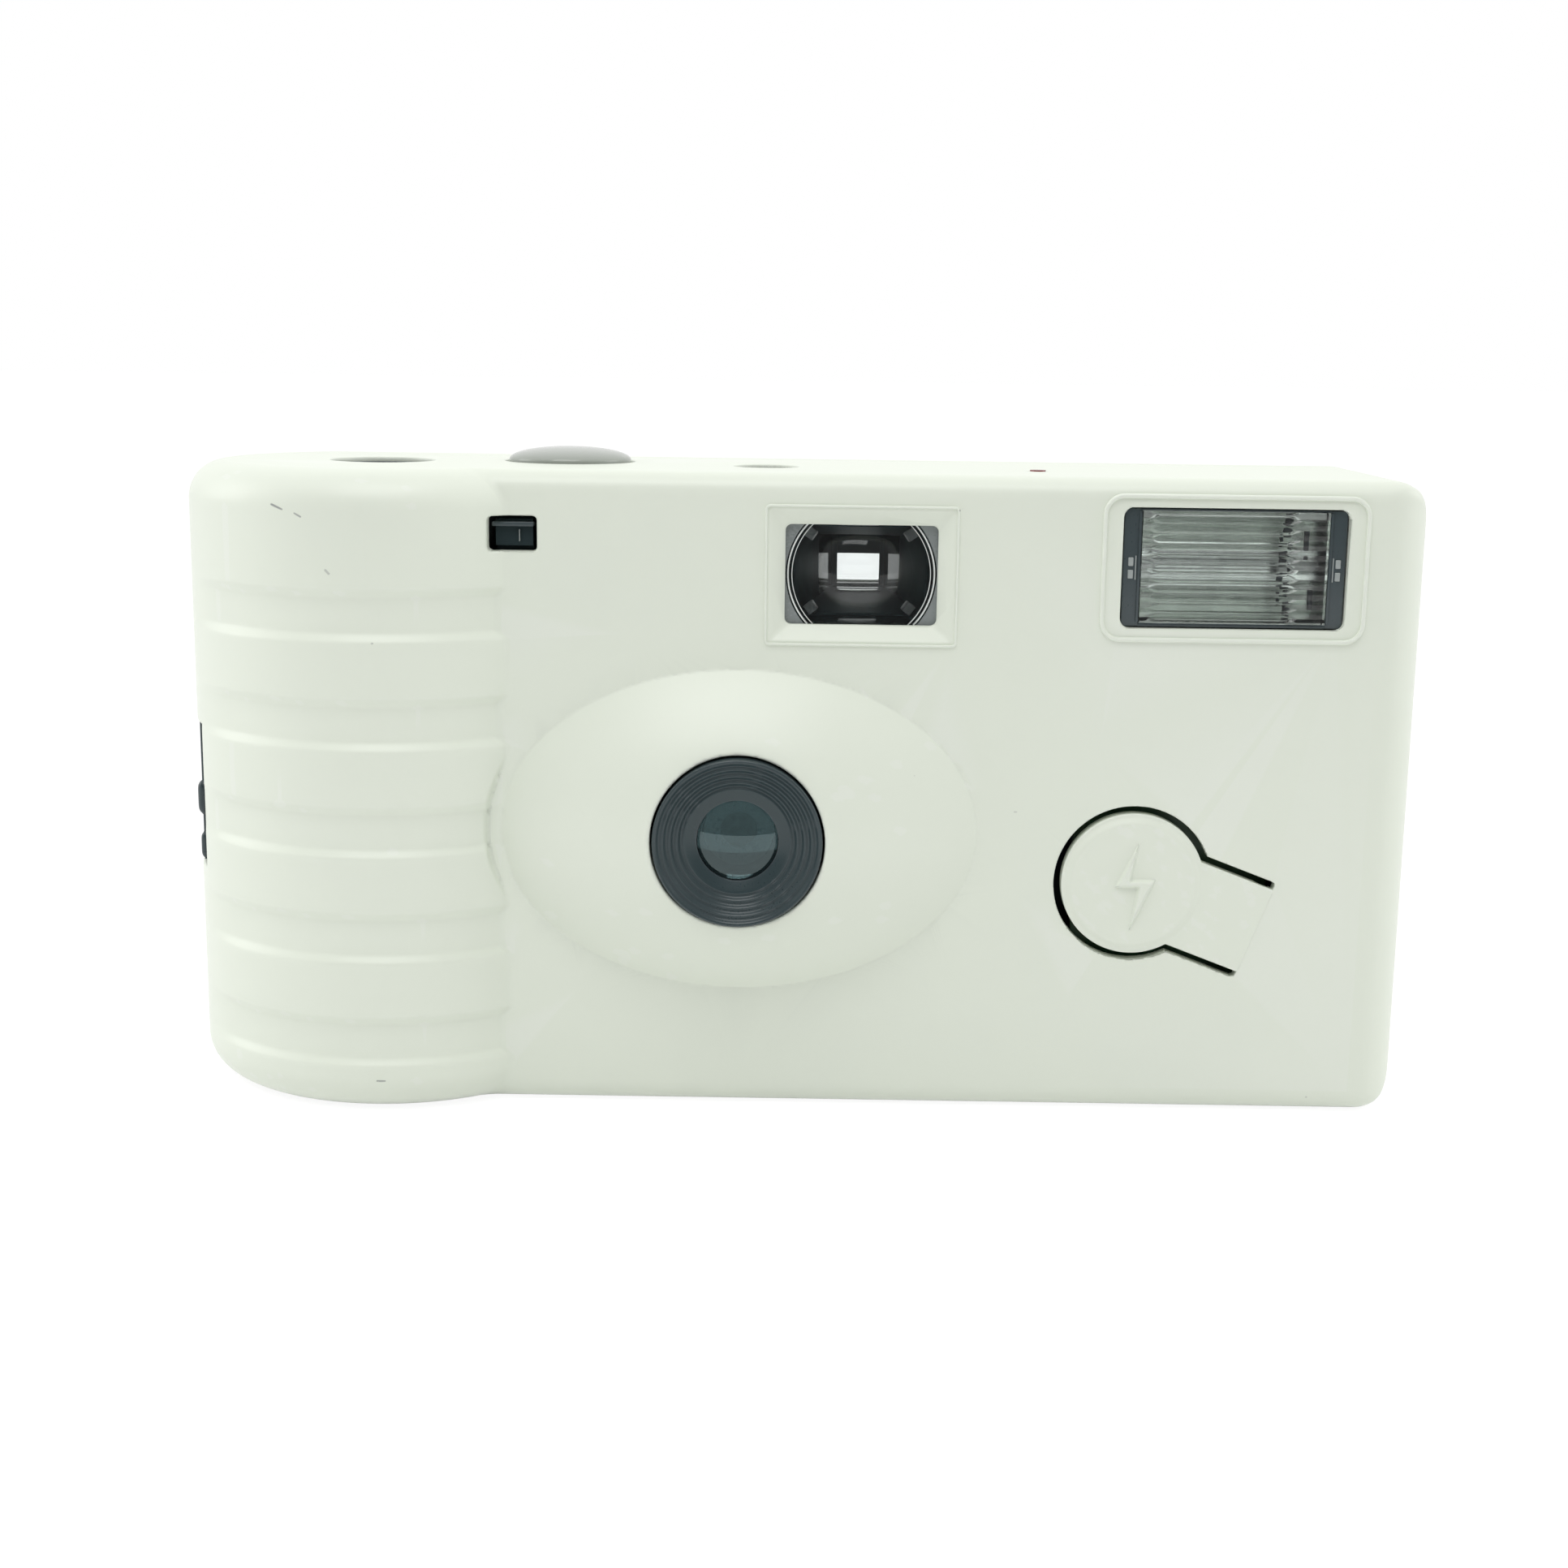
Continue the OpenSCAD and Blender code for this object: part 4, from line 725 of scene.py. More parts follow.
def tongueDistance(p):
    x, y, z = p[:, 0], p[:, 1], p[:, 2]
    panel, inner = body["panel"], body["panel"] + body["wall"]
    u, v = tonguePlace(x, z)
    root = tongue["length"] + tongue["lap"] * np.clip((inner - y) / body["wall"], 0, 1)
    outline = tongueOutline(u, v, tongue["radius"], tongue["half"], root)
    raised = tongue["disc"] * (1 - ramp(np.hypot(u, v), tongue["radius"] - 1.0, tongue["radius"] - 0.2))
    bolt = boltDistance(x - tongue["x"], z - tongue["z"])
    raised = raised + tongue["bolt"] * (1 - ramp(bolt, -0.3, 0.04))
    dip = tongue["dip"] * ramp(u, tongue["length"] - 0.9, tongue["length"] + tongue["lap"])
    slab = np.maximum(panel - raised + dip - y, y - inner)
    solid = np.where(u > tongue["length"] - 0.6, np.maximum(outline, slab), softMax(outline, slab, 0.1))
    bend = np.hypot(u - tongue["length"] + 1.0, y - inner) - 0.7
    return softMax(solid, -bend, 0.1)


def evaluated(piece):
    return bpy.data.meshes.new_from_object(piece.evaluated_get(bpy.context.evaluated_depsgraph_get()))


def addPiece(name, mesh, slotName, replaced=(), material=None, sharp=40.0, bodyName="camera_body"):
    piece = bpy.data.objects.new(name, mesh)
    mesh.name = name
    scene.collection.objects.link(piece)
    if sharp:
        mesh.shade_smooth()
        mesh.set_sharp_from_angle(angle=math.radians(sharp))
    paint(piece, material or finishes[slotName])
    if bodyName:
        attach(piece, bodyName)
    if replaced:
        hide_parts(*replaced)
    return piece


def fieldSlope(distance, places):
    step = 0.02
    value = distance(places)
    return value, np.stack([distance(places + step * axis) - value for axis in np.eye(3)], 1) / step


def readRows(items, key):
    values = np.zeros(len(items) * 3)
    items.foreach_get(key, values)
    return values.reshape(-1, 3)


def readCounts(items, key):
    values = np.zeros(len(items), int)
    items.foreach_get(key, values)
    return values


def trueNormals(mesh, distance):
    # where a point's own normal nearly agrees with the field's, the field's is taken; flat faces shade flat
    index = readCounts(mesh.loops, "vertex_index")
    normals = np.zeros((len(mesh.vertices), 3))
    normals[index] = readRows(mesh.corner_normals, "vector")
    slope = fieldSlope(distance, readRows(mesh.vertices, "co") / mm)[1]
    slope /= np.maximum(np.linalg.norm(slope, axis=1), 1e-9)[:, None]
    close = (slope * normals).sum(1) > math.cos(math.radians(5))
    normals[close] = slope[close]
    sides = readCounts(mesh.polygons, "loop_total")
    faces = np.repeat(readRows(mesh.polygons, "normal"), sides, axis=0)
    flatFace = np.abs(faces).max(1) > 0.9998
    corners = np.where(flatFace[:, None], np.round(faces), normals[index])
    mesh.normals_split_custom_set(corners.tolist())


def mouldShell(name, node, distance, look, extra=()):
    helper = bpy.data.objects.new("helper", joined([nodes[node].data, *extra]))
    scene.collection.objects.link(helper)
    remesh = helper.modifiers.new("remesh", "REMESH")
    remesh.mode, remesh.adaptivity = "VOXEL", 0.0
    coarse = 1.0
    remesh.voxel_size = look["voxel"] * coarse * mm
    mesh = evaluated(helper)
    count = len(mesh.vertices)
    places = readRows(mesh.vertices, "co") / mm
    for _ in range(look["rounds"]):
        value, slope = fieldSlope(distance, places)
        shift = -value[:, None] * slope / np.maximum((slope ** 2).sum(1), 0.25)[:, None]
        far = np.linalg.norm(shift, axis=1)
        places += shift * np.minimum(1, look["reach"] / np.maximum(far, 1e-9))[:, None]
    mesh.vertices.foreach_set("co", (places * mm).ravel())
    mesh.shade_smooth()
    mesh.update()
    helper.modifiers.clear()
    helper.data = mesh
    thin = helper.modifiers.new("thin", "DECIMATE")
    thin.ratio = min(1.0, look["faces"] / (len(mesh.polygons) * 2))
    even = helper.modifiers.new("even", "WEIGHTED_NORMAL")
    even.mode, even.weight = "FACE_AREA", 50
    final = evaluated(helper)
    bpy.data.objects.remove(helper)
    trueNormals(final, distance)
    addPiece(name, final, slotOf[node], (node,), sharp=0, bodyName=nodes[node]["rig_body"])
    print("shell", name, count, "points,", len(final.polygons), "faces")


# the bevelled frame of the finder is thin at its tip, so bars give the remesh something to hold there
inner = body["panel"] + body["wall"]
finderBars = []
for side in (-1, 1):
    x0, x1 = finder["x"] + side * finder["w"] / 2, finder["x"] + side * (finder["w"] / 2 + 1.5)
    z0, z1 = finder["z"] + side * finder["h"] / 2, finder["z"] + side * (finder["h"] / 2 + 1.2)
    finderBars.append(softBox((x0, inner - 0.6, finder["z"] - 5.8), (x1, inner, finder["z"] + 5.8), 0.05))
    finderBars.append(softBox((finder["x"] - 8.5, inner - 0.6, z0), (finder["x"] + 8.5, inner, z1), 0.05))
frontShape = dict(voxel=0.2, rounds=4, reach=0.35, faces=150000)
backShape = dict(voxel=0.25, rounds=4, reach=0.35, faces=60000)
tongueShape = dict(voxel=0.11, rounds=4, reach=0.3, faces=40000)
mouldShell("frontShell", "front_cover", frontDistance, frontShape, finderBars)
mouldShell("backShell", "back_cover", backDistance, backShape)
mouldShell("flashTongue", "flash_button", tongueDistance, tongueShape)


def slab(loop, near, far):
    # flat outline in x and z given a thickness along y
    count = len(loop)
    points = [(a, y, b) for y in (near, far) for a, b in loop]
    faces = [tuple(range(count)), tuple(range(2 * count - 1, count - 1, -1))]
    faces += [(k, (k + 1) % count, count + (k + 1) % count, count + k) for k in range(count)]
    return cleanMesh(newMesh(points, faces))


ringLook = {"outer": 7.8, "front": -17.6, "ridgeOut": 7.5, "ridgeIn": 4.85, "ridges": 4, "depth": 0.19,
            "fall": 0.4, "cone": ((4.74, 1.12), (4.6, 1.18)), "throat": 3.76, "lip": 1.52, "seat": -13.1,
            "rear": -10.2, "bore": 5.1}
stopLook = [(1.15, -10.24), (1.15, -10.34), (1.3, -10.38), (2.3, -10.38), (2.3, -10.24)]


def makeLensRing(look):
    front = look["front"]
    profile = [(look["outer"], look["rear"]), (look["outer"], front + 0.3)]
    profile += arcPoints(look["outer"] - 0.2, front + 0.2, 0.2, 0, -90, 6)
    steps, width = 72, look["ridgeOut"] - look["ridgeIn"]
    for i in range(steps + 1):
        share = i / steps
        wave = 0.5 - 0.5 * math.cos(2 * math.pi * share * look["ridges"])
        height = front + 0.04 + width * share * look["fall"] + look["depth"] * wave
        profile.append((look["ridgeOut"] - width * share, height))
    profile += [(r, front + fall) for r, fall in look["cone"]]
    throat, lip, seat = look["throat"], front + look["lip"], look["seat"]
    profile += [(throat + 0.1, lip - 0.05), (throat, lip), (throat, seat)]
    profile += [(look["bore"], seat), (look["bore"], look["rear"])]
    mesh = turned(profile, (dome["x"], dome["z"]), "y", 160)
    addPiece("lensRing", mesh, "black_plastic", ("lens_ring",), sharp=60.0)
    addPiece("apertureStop", turned(stopLook, (dome["x"], dome["z"]), "y", 72), "black_plastic")


lensLook = {"edge": 3.72, "bulge": 0.85, "rim": -15.75, "seat": -13.1, "rear": -10.42, "flange": 5.0,
            "hollow": 0.2, "hollowR": 3.6}


def makeTakingLens(look):
    curve = (look["edge"] ** 2 + look["bulge"] ** 2) / (2 * look["bulge"])
    profile = []
    for i in range(25):
        r = look["edge"] * i / 24
        profile.append((r, look["rim"] - look["bulge"] + curve - math.sqrt(curve ** 2 - r ** 2)))
    flange, seat, rear, inside = look["flange"], look["seat"], look["rear"], look["hollowR"]
    profile += [(look["edge"], seat), (flange - 0.1, seat), (flange, seat + 0.1)]
    profile += [(flange, rear - 0.1), (flange - 0.1, rear), (inside, rear)]
    for i in range(11, -1, -1):
        r = inside * i / 12
        profile.append((r, rear - look["hollow"] * (1 - (r / inside) ** 2)))
    mesh = turned(profile, (dome["x"], dome["z"]), "y", 128)
    addPiece("takingLens", mesh, "clear_lens", ("taking_lens",), lensGlass)


capLook = {"flangeLow": 57.4, "flangeTop": 58.2, "rise": 1.4, "foot": 0.1, "reach": 5.95, "stem": 1.0}


def makeShutterCap(look):
    r, base = look["reach"], body["top"] + look["foot"]
    profile = []
    for i in range(33):
        turn = math.pi / 2 * i / 32
        profile.append((r * math.sin(turn), base + (look["rise"] - look["foot"]) * math.cos(turn) ** 0.92))
    profile += [(r, look["flangeTop"] + 0.1), (press["flange"] - 0.1, look["flangeTop"])]
    profile += [(press["flange"], look["flangeTop"] - 0.1), (press["flange"], look["flangeLow"])]
    profile.append((0.0, look["flangeLow"]))
    cap = turned(profile, (press["x"], press["y"]), "z", 128)
    foot = boxOf("shutter_button")[0][2]
    rod = [(0.0, foot), (look["stem"] - 0.25, foot), (look["stem"], foot + 0.25)]
    rod += [(look["stem"], look["flangeLow"] + 0.3), (0.0, look["flangeLow"] + 0.3)]
    stem = turned(rod, (middle("button_spring")[0], middle("button_spring")[1]), "z", 40)
    addPiece("shutterCap", joined([cap, stem]), "grey_button", ("shutter_button",), sharp=35.0,
             bodyName="shutter_button")


springLook = {"wire": 0.2, "turns": 4, "steps": 40, "sides": 12}


def makeButtonSpring(look):
    # round wire coil from the frame up to the button
    low, high = boxOf("button_spring")
    x, y = middle("button_spring")[:2]
    wire, sides = look["wire"], look["sides"]
    coil, count = (high[0] - low[0]) / 2 - wire, look["turns"] * look["steps"]
    points = []
    for i in range(count + 1):
        turn = 2 * math.pi * i / look["steps"]
        z = low[2] + wire + (high[2] - low[2] - 2 * wire) * i / count
        for j in range(sides):
            angle = 2 * math.pi * j / sides
            r = coil + wire * math.cos(angle)
            points.append((x + r * math.cos(turn), y + r * math.sin(turn), z + wire * math.sin(angle)))
    faces = gridFaces(count + 1, sides, False)
    faces += [tuple(range(sides)), tuple(range(count * sides, (count + 1) * sides))]
    mesh = cleanMesh(newMesh(points, faces))
    slotName = slotOf["button_spring"]
    spring = addPiece("buttonSpring", mesh, slotName, ("button_spring",), sharp=50.0, bodyName=None)
    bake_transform(spring)


diffuserLook = {"halfW": 8.5, "low": -5.02, "high": 5.2, "face": -11.72, "back": -10.3, "pitch": 0.9,
                "depth": 0.2, "rib": 0.19, "ends": (-8.0, 5.9), "tooth": 1.05, "steps": (220, 240)}


def makeDiffuser(look):
    # clear block with thin horizontal ribs that widen into arrow points at both ends
    across, up = look["steps"]
    points, faces = [], []
    for j in range(up + 1):
        z = look["low"] + (look["high"] - look["low"]) * j / up
        off = abs((z / look["pitch"]) % 1.0 - 0.5) * look["pitch"]
        for i in range(across + 1):
            x = -look["halfW"] + 2 * look["halfW"] * i / across
            run = min(x - look["ends"][0], look["ends"][1] - x) / look["tooth"]
            half = look["rib"] + (0.62 * look["pitch"] - look["rib"]) * (1 - min(max(run, 0.0), 1.0))
            rib = look["depth"] * max(0.0, 1 - (off / half) ** 2)
            points.append((flash["x"] + x, look["face"] + look["depth"] - rib, flash["z"] + z))
    row = across + 1
    for j in range(up):
        for i in range(across):
            a = j * row + i
            faces.append((a, a + 1, a + row + 1, a + row))
    rim = list(range(row)) + [j * row + across for j in range(1, up + 1)]
    rim += [up * row + i for i in range(across - 1, -1, -1)] + [j * row for j in range(up - 1, 0, -1)]
    base = len(points)
    for index in rim:
        points.append((points[index][0], look["back"], points[index][2]))
    for k in range(len(rim)):
        n = (k + 1) % len(rim)
        faces.append((rim[n], rim[k], base + k, base + n))
    faces.append(tuple(range(base, base + len(rim))))
    addPiece("flashDiffuser", newMesh(points, faces), "clear_lens", ("flash_lens",), sharp=35.0)


frameLook = {"halfW": 10.15, "halfH": 5.38, "near": -11.5, "far": -10.2, "strip": 8.55, "clips": (-0.6, 0.55),
             "clipX": 9.45, "wireX": 9.0, "line": (-4.95, 5.1), "railHalf": 8.6, "rails": (-5.06, 5.24)}


def makeFlashFrame(look):
    # dark holder that shows as a strip at both ends of the clear block, with pale clips
    cx, cz, near, far = flash["x"], flash["z"], look["near"], look["far"]
    (lineLow, lineHigh), (railLow, railHigh), reach = look["line"], look["rails"], look["railHalf"]
    bars, clips = [], []
    for side in (-1, 1):
        x0, x1 = cx + side * look["halfW"], cx + side * look["strip"]
        bars.append(softBox((x0, near, cz - look["halfH"]), (x1, far, cz + look["halfH"]), 0.1))
        edge = cx + side * (look["strip"] + 0.14)
        bars.append(softBox((edge - 0.12, near - 0.16, cz + lineLow),
                            (edge + 0.12, near + 0.2, cz + lineHigh), 0.06))
        for level in look["clips"]:
            clips.append(bar(cx + side * look["clipX"], 0.24, near - 0.14, near + 0.2, cz + level, 0.4, 0.08))
        clips.append(bar(cx + side * look["wireX"], 0.05, near - 0.08, near + 0.2, cz, 1.1, 0.03))
    bars.append(softBox((cx - reach, near, cz + railHigh), (cx + reach, far, cz + look["halfH"]), 0.04))
    bars.append(softBox((cx - reach, near, cz - look["halfH"]), (cx + reach, far, cz + railLow), 0.06))
    addPiece("flashFrame", joined(bars), "black_plastic")
    addPiece("flashClips", joined(clips), "dark_plastic", material=paleClip)


beadLook = {"round": 1.7, "tube": 0.22, "sunk": 0.02, "halfW": 11.95, "halfH": 6.55}
lipLook = {"round": 0.35, "tube": 0.13, "sunk": 0.04, "halfW": finder["w"] / 2 + finder["bevel"] + 0.08,
           "halfH": finder["h"] / 2 + finder["bevel"] + 0.08}


def makeMouldedLine(name, place, look):
    # thin raised line moulded on the panel round a window
    path = []
    for sx, sz, start in ((1, 1, 0), (-1, 1, 90), (-1, -1, 180), (1, -1, 270)):
        cx, cz = sx * (look["halfW"] - look["round"]), sz * (look["halfH"] - look["round"])
        path += arcPoints(cx, cz, look["round"], start, start + 90, 10)
    points, sides, count = [], 12, len(path)
    for k, (a, b) in enumerate(path):
        (pa, pb), (na, nb) = path[k - 1], path[(k + 1) % count]
        length = math.hypot(na - pa, nb - pb)
        outA, outB = (nb - pb) / length, (pa - na) / length
        for i in range(sides):
            turn = 2 * math.pi * i / sides
            out, forward = look["tube"] * math.cos(turn), look["tube"] * math.sin(turn)
            depth = body["panel"] + look["sunk"] - forward
            points.append((place["x"] + a + outA * out, depth, place["z"] + b + outB * out))
    addPiece(name, cleanMesh(newMesh(points, gridFaces(count, sides))), "white_shell", sharp=70.0)


holderLook = {"x": 4.9, "count": 13, "low": -4.5, "pitch": 0.72, "sway": 0.5}


def makeTubeHolder(look):
    # dark clips and trigger wire round the flash tube, seen broken up through the ribs
    y = middle("flash_tube")[1] - 2.3
    parts = []
    for k in range(look["count"]):
        x = flash["x"] + look["x"] + look["sway"] * math.sin(2.3 * k)
        z = flash["z"] + look["low"] + look["pitch"] * k
        half = 0.3 + 0.16 * math.sin(1.7 * k + 1)
        near = y - 0.45 * (k % 3)
        turn = Matrix.Rotation(0.6 * math.sin(3.1 * k), 3, "Y")
        parts.append(bar(x, half, near, near + 0.4, z, 0.3, 0.1, turn))
    for side, z in ((1.9, 2.2), (2.5, -3.2)):
        parts.append(bar(flash["x"] + look["x"] + side, 0.25, y - 0.4, y, flash["z"] + z, 1.0, 0.1))
    addPiece("tubeHolder", joined(parts), "black_plastic")


gussetLook = {"radius": 6.96, "halfW": 7.25, "halfH": 4.72, "near": -10.38, "far": -9.95, "steps": 18,
              "clip": (5.0, 3.75), "rims": ((6.74, 0.07), (6.38, 0.035))}
funnelLook = {"front": -6.1, "change": 1.4, "rear": 9.6, "wideFront": 6.85, "highFront": 4.6,
              "wideRear": 4.75, "highRear": 4.15, "wide": 3.85, "high": 2.75, "drop": 1.0,
              "strip": (4.4, 5.1), "stripHalf": 3.6, "wall": 0.25, "mask": (5.2, 4.4)}


def makeFinderInside(look):
    # grey corner plates round the front lens, its clips, and two pale arcs at its edge: partly its frosted
    # cut edge, partly painted highlight
    plates, rims = [], []
    reach = math.degrees(math.asin(look["halfH"] / look["radius"]))
    for side in (-1, 1):
        loop = [(side * a, b) for a, b in arcPoints(0, 0, look["radius"], -reach, reach, look["steps"])]
        loop += [(side * look["halfW"], look["halfH"]), (side * look["halfW"], -look["halfH"])]
        plates.append(slab([(finder["x"] + a, finder["z"] + b) for a, b in loop], look["near"], look["far"]))
        for up in (-1, 1):
            cx, cz = finder["x"] + side * look["clip"][0], finder["z"] + up * look["clip"][1]
            turn = Matrix.Rotation(-math.radians(36) * up * side, 3, "Y")
            plates.append(bar(cx, 0.42, -6.9, -6.2, cz, 0.55, 0.08, turn))
        for radius, half in look["rims"]:
            far = math.degrees(math.asin((look["halfH"] - 0.1) / radius))
            loop = arcPoints(0, 0, radius - half, -far, far, 28)
            loop += arcPoints(0, 0, radius + half, far, -far, 28)
            loop = [(finder["x"] + side * a, finder["z"] + b) for a, b in loop]
            rims.append(slab(loop, look["near"] + 0.02, look["near"] + 0.26))
    addPiece("finderCorners", joined(plates), "dark_plastic", material=greyCorner)
    addPiece("finderLensRimHighlight", joined(rims), "clear_lens", material=frostedRimHighlight)


def makeFunnel(look):
    # tapered liner, glossy only near its rear, that ends in the frame before the eyepiece
    fx, fz = finder["x"], finder["z"]
    share = (look["change"] - look["front"]) / (look["rear"] - look["front"])
    wide = look["wideFront"] + (look["wideRear"] - look["wideFront"]) * share
    high = look["highFront"] + (look["highRear"] - look["highFront"]) * share
    rings = ((look["front"], look["wideFront"], look["highFront"]), (look["change"], wide, high),
             (look["rear"], look["wideRear"], look["highRear"]))
    points = [(fx + a * w, y, fz + b * h) for y, w, h in rings
              for a, b in ((-1, -1), (1, -1), (1, 1), (-1, 1))]
    work = bmesh.new()
    work.from_mesh(newMesh(points, gridFaces(len(rings), 4, False)))
    bmesh.ops.solidify(work, geom=work.faces, thickness=look["wall"] * mm)
    bmesh.ops.recalc_face_normals(work, faces=work.faces)
    mesh = meshFrom(work, "funnel")
    funnel = addPiece("finderFunnel", mesh, "black_plastic", material=glossBlack, sharp=30.0)
    funnel.data.materials.append(finderBlack)
    for face in funnel.data.polygons:
        low = face.center.z < (fz - 3.5) * mm and face.normal.z > 0.5
        face.material_index = 1 if low or face.center.y < look["change"] * mm else 0
    floorZ = fz - high + 0.12
    strip = bar(fx, look["stripHalf"], *look["strip"], floorZ + 0.12, 0.12, 0.05)
    addPiece("finderLedge", strip, "bright_metal")
    middleZ, (outW, outH) = fz - look["drop"], look["mask"]
    near, far = look["rear"] + 0.05, look["rear"] + 0.5
    bars = []
    for side in (-1, 1):
        x0, x1 = side * outW, side * look["wide"]
        bars.append(softBox((fx + x0, near, fz - outH), (fx + x1, far, fz + outH), 0.12))
        z0, z1 = fz + side * outH, middleZ + side * look["high"]
        bars.append(softBox((fx - look["wide"] - 0.1, near, z0), (fx + look["wide"] + 0.1, far, z1), 0.12))
    addPiece("finderMask", joined(bars), "black_plastic", material=finderBlack)


# mark: offset and width of the pale bar that paints a glint on the catch
catchLook = {"near": -11.4, "ledge": (0.62, 1.05), "mark": (0.55, 0.07)}


def makeHookCatch(look):
    # ledge on the dark catch behind the hook window, and a thin pale bar on it as a painted glint
    cx, cz, near = hook["x"], hook["z"], look["near"]
    (low, high), (start, width) = look["ledge"], look["mark"]
    ledge = softBox((cx - 1.9, near - 0.25, cz + low), (cx + 1.9, near + 0.6, cz + high), 0.1)
    paintedGlint = softBox((cx + start, near - 0.1, cz - 0.75), (cx + start + width, near + 0.3, cz + 0.35), 0.03)
    addPiece("hookCatch", ledge, "black_plastic")
    addPiece("hookPaintedGlint", paintedGlint, "dark_plastic", material=paleClip)


strapLook = {"out": 19.12, "thin": 0.2, "half": 7.2, "knuckles": ((27.2, 1.7, 0.42), (22.4, 1.3, 0.28))}


def makeStrapBar(look):
    # thin dark bar across the strap recess with two worn knuckles
    turn = math.radians(strap["turn"] - 2.0)
    place = (grip["x"] + look["out"] * math.cos(turn), grip["y"] + look["out"] * math.sin(turn))
    profile = [(0.0, strap["z"] - look["half"])]
    for i in range(97):
        z = strap["z"] - look["half"] + 2 * look["half"] * i / 96
        lump = sum(size * max(0.0, 1 - abs((z - at) / half) ** 6) for at, half, size in look["knuckles"])
        profile.append((look["thin"] + lump, z))
    profile.append((0.0, strap["z"] + look["half"]))
    addPiece("strapBar", turned(profile, place, "z", 32), "black_plastic", ("strap_bar",), sharp=60.0)


dialLook = {"radius": 5.4, "step": 3, "count": 10, "size": 1.7, "lift": 0.05}


def makeCounterMarks(look):
    # numerals printed on the counter dial
    low, high = boxOf("counter_dial")
    cx, cy, level = (low[0] + high[0]) / 2, (low[1] + high[1]) / 2, high[2] + look["lift"] / 2
    meshes = []
    for i in range(look["count"]):
        angle = math.radians(36 * i + 21.6)
        curve = bpy.data.curves.new("numeral", "FONT")
        curve.body = str(i * look["step"])
        curve.size, curve.extrude = look["size"] * mm, look["lift"] / 2 * mm
        curve.align_x, curve.align_y = "CENTER", "CENTER"
        holder = bpy.data.objects.new("numeral", curve)
        scene.collection.objects.link(holder)
        mesh = evaluated(holder)
        bpy.data.objects.remove(holder)
        spin = Matrix.Rotation(angle - math.pi / 2, 4, "Z")
        out = look["radius"]
        spot = Vector((cx + out * math.cos(angle), cy + out * math.sin(angle), level))
        mesh.transform(Matrix.Translation(spot * mm) @ spin)
        meshes.append(mesh)
    addPiece("counterMarks", joined(meshes), "black_plastic", bodyName="counter_dial")


makeLensRing(ringLook)
makeTakingLens(lensLook)
makeShutterCap(capLook)
makeButtonSpring(springLook)
makeDiffuser(diffuserLook)
makeFlashFrame(frameLook)
makeMouldedLine("flashBead", flash, beadLook)
makeMouldedLine("finderLip", finder, lipLook)
makeHookCatch(catchLook)
makeTubeHolder(holderLook)
makeFinderInside(gussetLook)
makeFunnel(funnelLook)
makeStrapBar(strapLook)
makeCounterMarks(dialLook)
print("small pieces made")

# camera at the photograph's place
cameraLook = {"place": (0.42, -211.65, 71.58), "pitch": 11.39, "yaw": -0.30, "roll": -0.79,
              "focal": 2696.68, "frame": 1932}


def makeCamera(look):
    a, b, r = (math.radians(look[k]) for k in ("pitch", "yaw", "roll"))
    forward = Vector((math.sin(b) * math.cos(a), math.cos(b) * math.cos(a), -math.sin(a)))
    right = Vector((math.cos(b), -math.sin(b), 0))
    up = right.cross(forward)
    side = math.cos(r) * right - math.sin(r) * up
    rise = math.sin(r) * right + math.cos(r) * up
    data = bpy.data.cameras.new("camera")
    data.sensor_width = 36.0
    data.lens = look["focal"] / look["frame"] * 36.0
    data.clip_start, data.clip_end = 0.01, 20.0
    camera = bpy.data.objects.new("camera", data)
    scene.collection.objects.link(camera)
    turn = Matrix((side, rise, -forward)).transposed().to_4x4()
    camera.matrix_world = Matrix.Translation(Vector(look["place"]) * mm) @ turn
    scene.camera = camera


makeCamera(cameraLook)

# floor, world and lamps
lightLook = {"sky": 0.97, "front": 0.22, "turn": (-0.75, -0.05), "aim": (0, 0, 0.03), "top": 1.6,
             "topSize": 0.4, "topPlace": (-0.06, -0.32, 0.56), "sides": 0.5, "sideSize": 0.3,
             "sidePlace": (0.55, 0.05, 0.25),
             "floorColour": (0.96, 0.96, 0.96, 1), "floorShare": 0.82, "floorGlow": 1.1, "floorEdge": -0.33,
             "floorReach": 4, "floorDrop": 0.05}


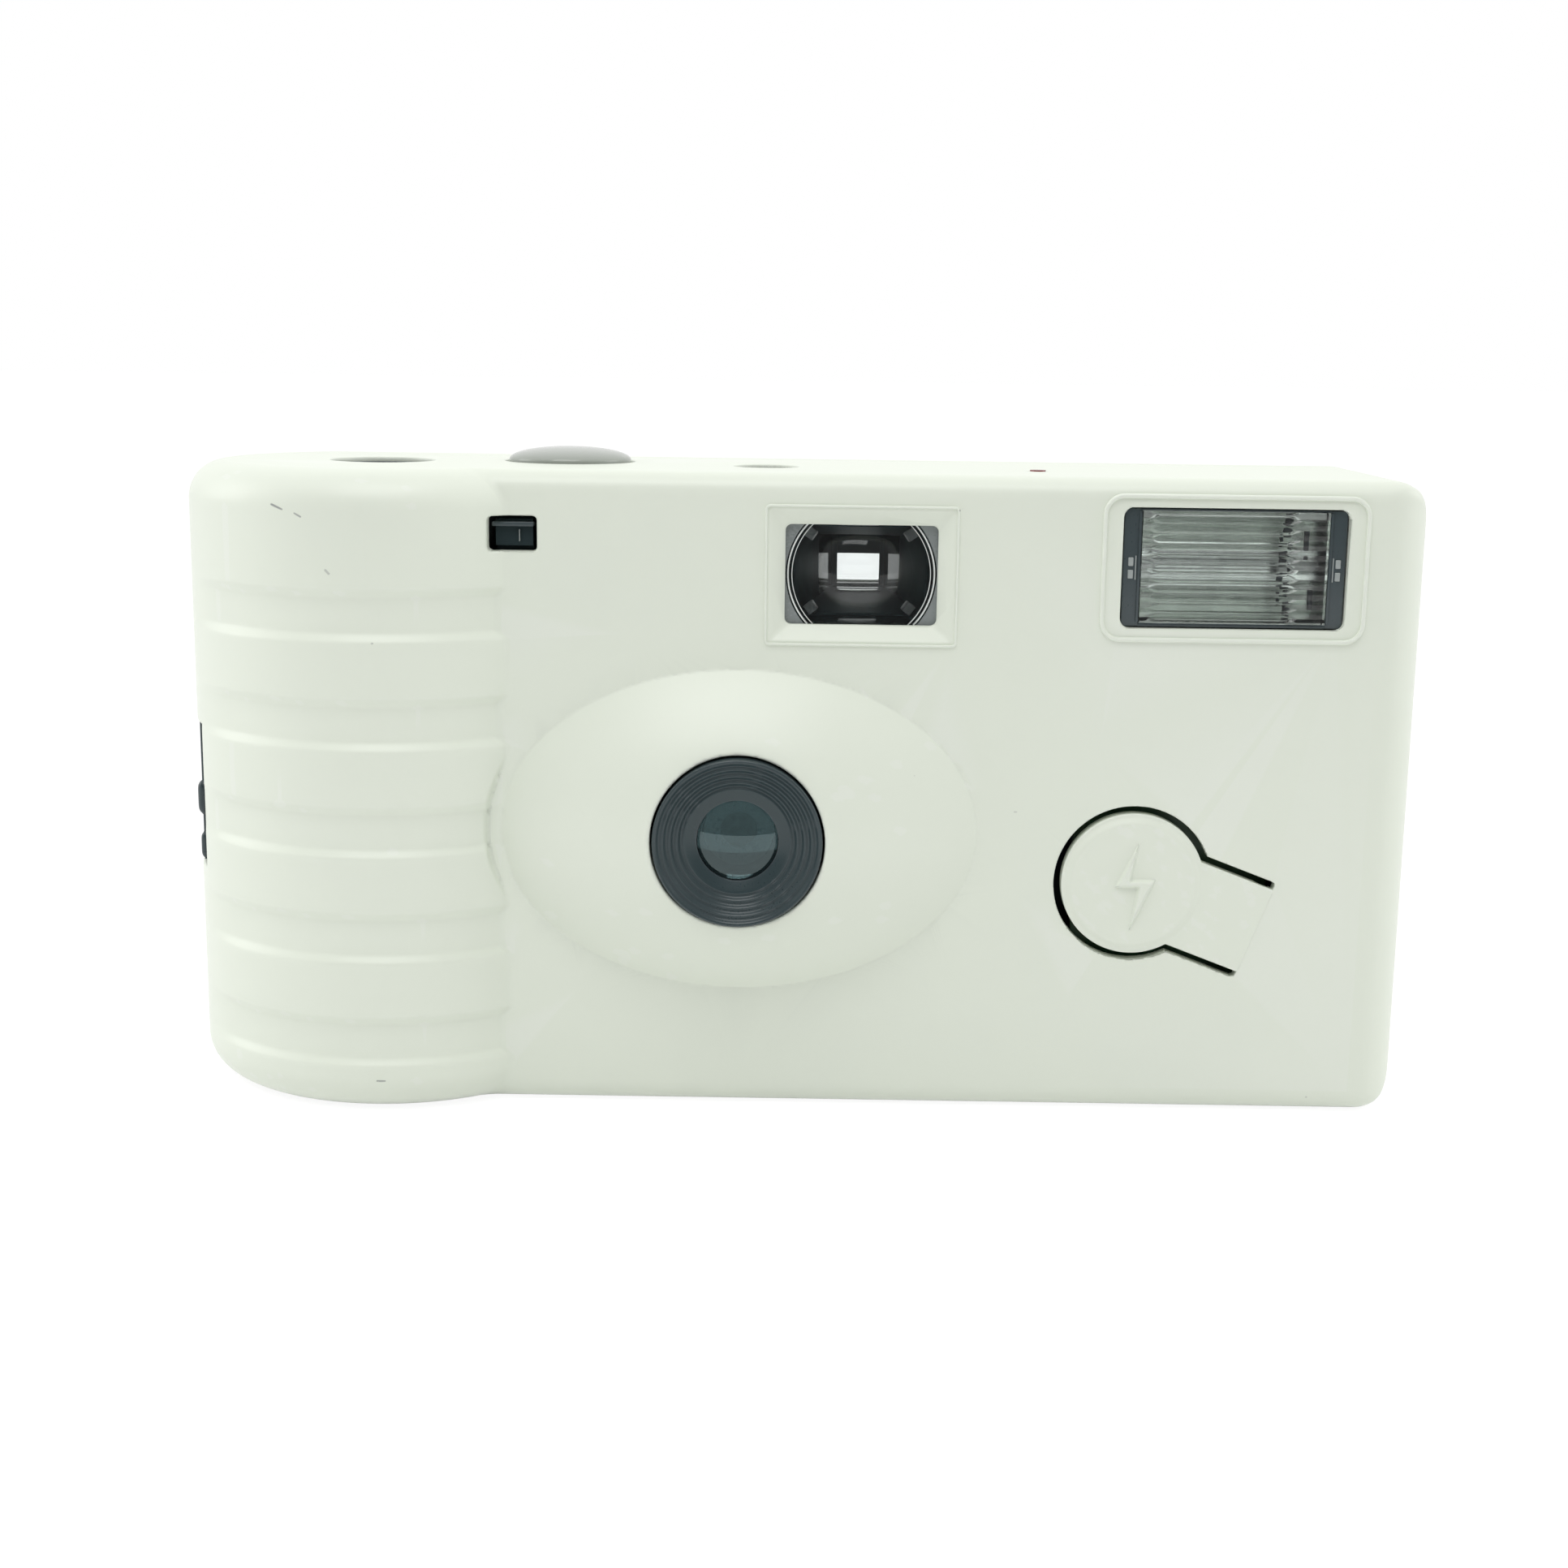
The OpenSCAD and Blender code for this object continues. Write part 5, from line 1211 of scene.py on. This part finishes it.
def makeFloor(look):
    mesh = bpy.data.meshes.new("floor")
    # the sheet ends before the dark side of the room
    near, reach, low = look["floorEdge"], look["floorReach"], -look["floorDrop"] * mm
    corners = [(-reach, near, low), (reach, near, low), (reach, reach, low), (-reach, reach, low)]
    mesh.from_pydata(corners, [], [(0, 1, 2, 3)])
    floor = bpy.data.objects.new("floor", mesh)
    scene.collection.objects.link(floor)
    material, tree, shader, _ = startMaterial("paleFloor")
    shader.inputs["Base Color"].default_value = look["floorColour"]
    shader.inputs["Roughness"].default_value = 0.8
    shader.inputs["Specular IOR Level"].default_value = 0.1
    path = addNode(tree, "ShaderNodeLightPath")
    seen = maths(tree, "MAXIMUM", path.outputs["Is Glossy Ray"], path.outputs["Is Transmission Ray"])
    seen = maths(tree, "MAXIMUM", path.outputs["Is Camera Ray"], seen)
    glow = addNode(tree, "ShaderNodeEmission")
    glow.inputs["Strength"].default_value = look["floorGlow"]
    mix = addNode(tree, "ShaderNodeMixShader")
    tree.links.new(maths(tree, "MULTIPLY", seen, look["floorShare"]), mix.inputs[0])
    tree.links.new(shader.outputs[0], mix.inputs[1])
    tree.links.new(glow.outputs[0], mix.inputs[2])
    tree.links.new(mix.outputs[0], tree.nodes["Material Output"].inputs["Surface"])
    mesh.materials.append(material)


def makeWorld(look):
    # white all round, dark in front where the photographer stands
    world = bpy.data.worlds.new("studio")
    scene.world = world
    world.use_nodes = True
    tree = world.node_tree
    parts = addNode(tree, "ShaderNodeSeparateXYZ")
    tree.links.new(addNode(tree, "ShaderNodeTexCoord").outputs["Generated"], parts.inputs[0])
    room = spread(tree, parts.outputs["Y"], *look["turn"], look["front"], look["sky"])
    strength = maths(tree, "MAXIMUM", room, addNode(tree, "ShaderNodeLightPath").outputs["Is Camera Ray"])
    tree.links.new(strength, tree.nodes["Background"].inputs["Strength"])
    tree.nodes["Background"].inputs["Color"].default_value = (1, 1, 1, 1)


def makeLamp(name, place, aim, size, power):
    data = bpy.data.lights.new(name, "AREA")
    data.shape, data.size, data.size_y, data.energy = "RECTANGLE", size, size, power
    lampObject = bpy.data.objects.new(name, data)
    scene.collection.objects.link(lampObject)
    lampObject.location = place
    lampObject.rotation_mode = "QUATERNION"
    lampObject.rotation_quaternion = (Vector(aim) - Vector(place)).to_track_quat("-Z", "Y")
    lampObject.visible_camera = False


makeFloor(lightLook)
makeWorld(lightLook)
makeLamp("topLamp", lightLook["topPlace"], lightLook["aim"], lightLook["topSize"], lightLook["top"])
for name, side in (("leftLamp", -1), ("rightLamp", 1)):
    x, y, z = lightLook["sidePlace"]
    makeLamp(name, (side * x, y, z), lightLook["aim"], lightLook["sideSize"], lightLook["sides"])
scene.view_settings.view_transform = "Standard"
print("stage made")
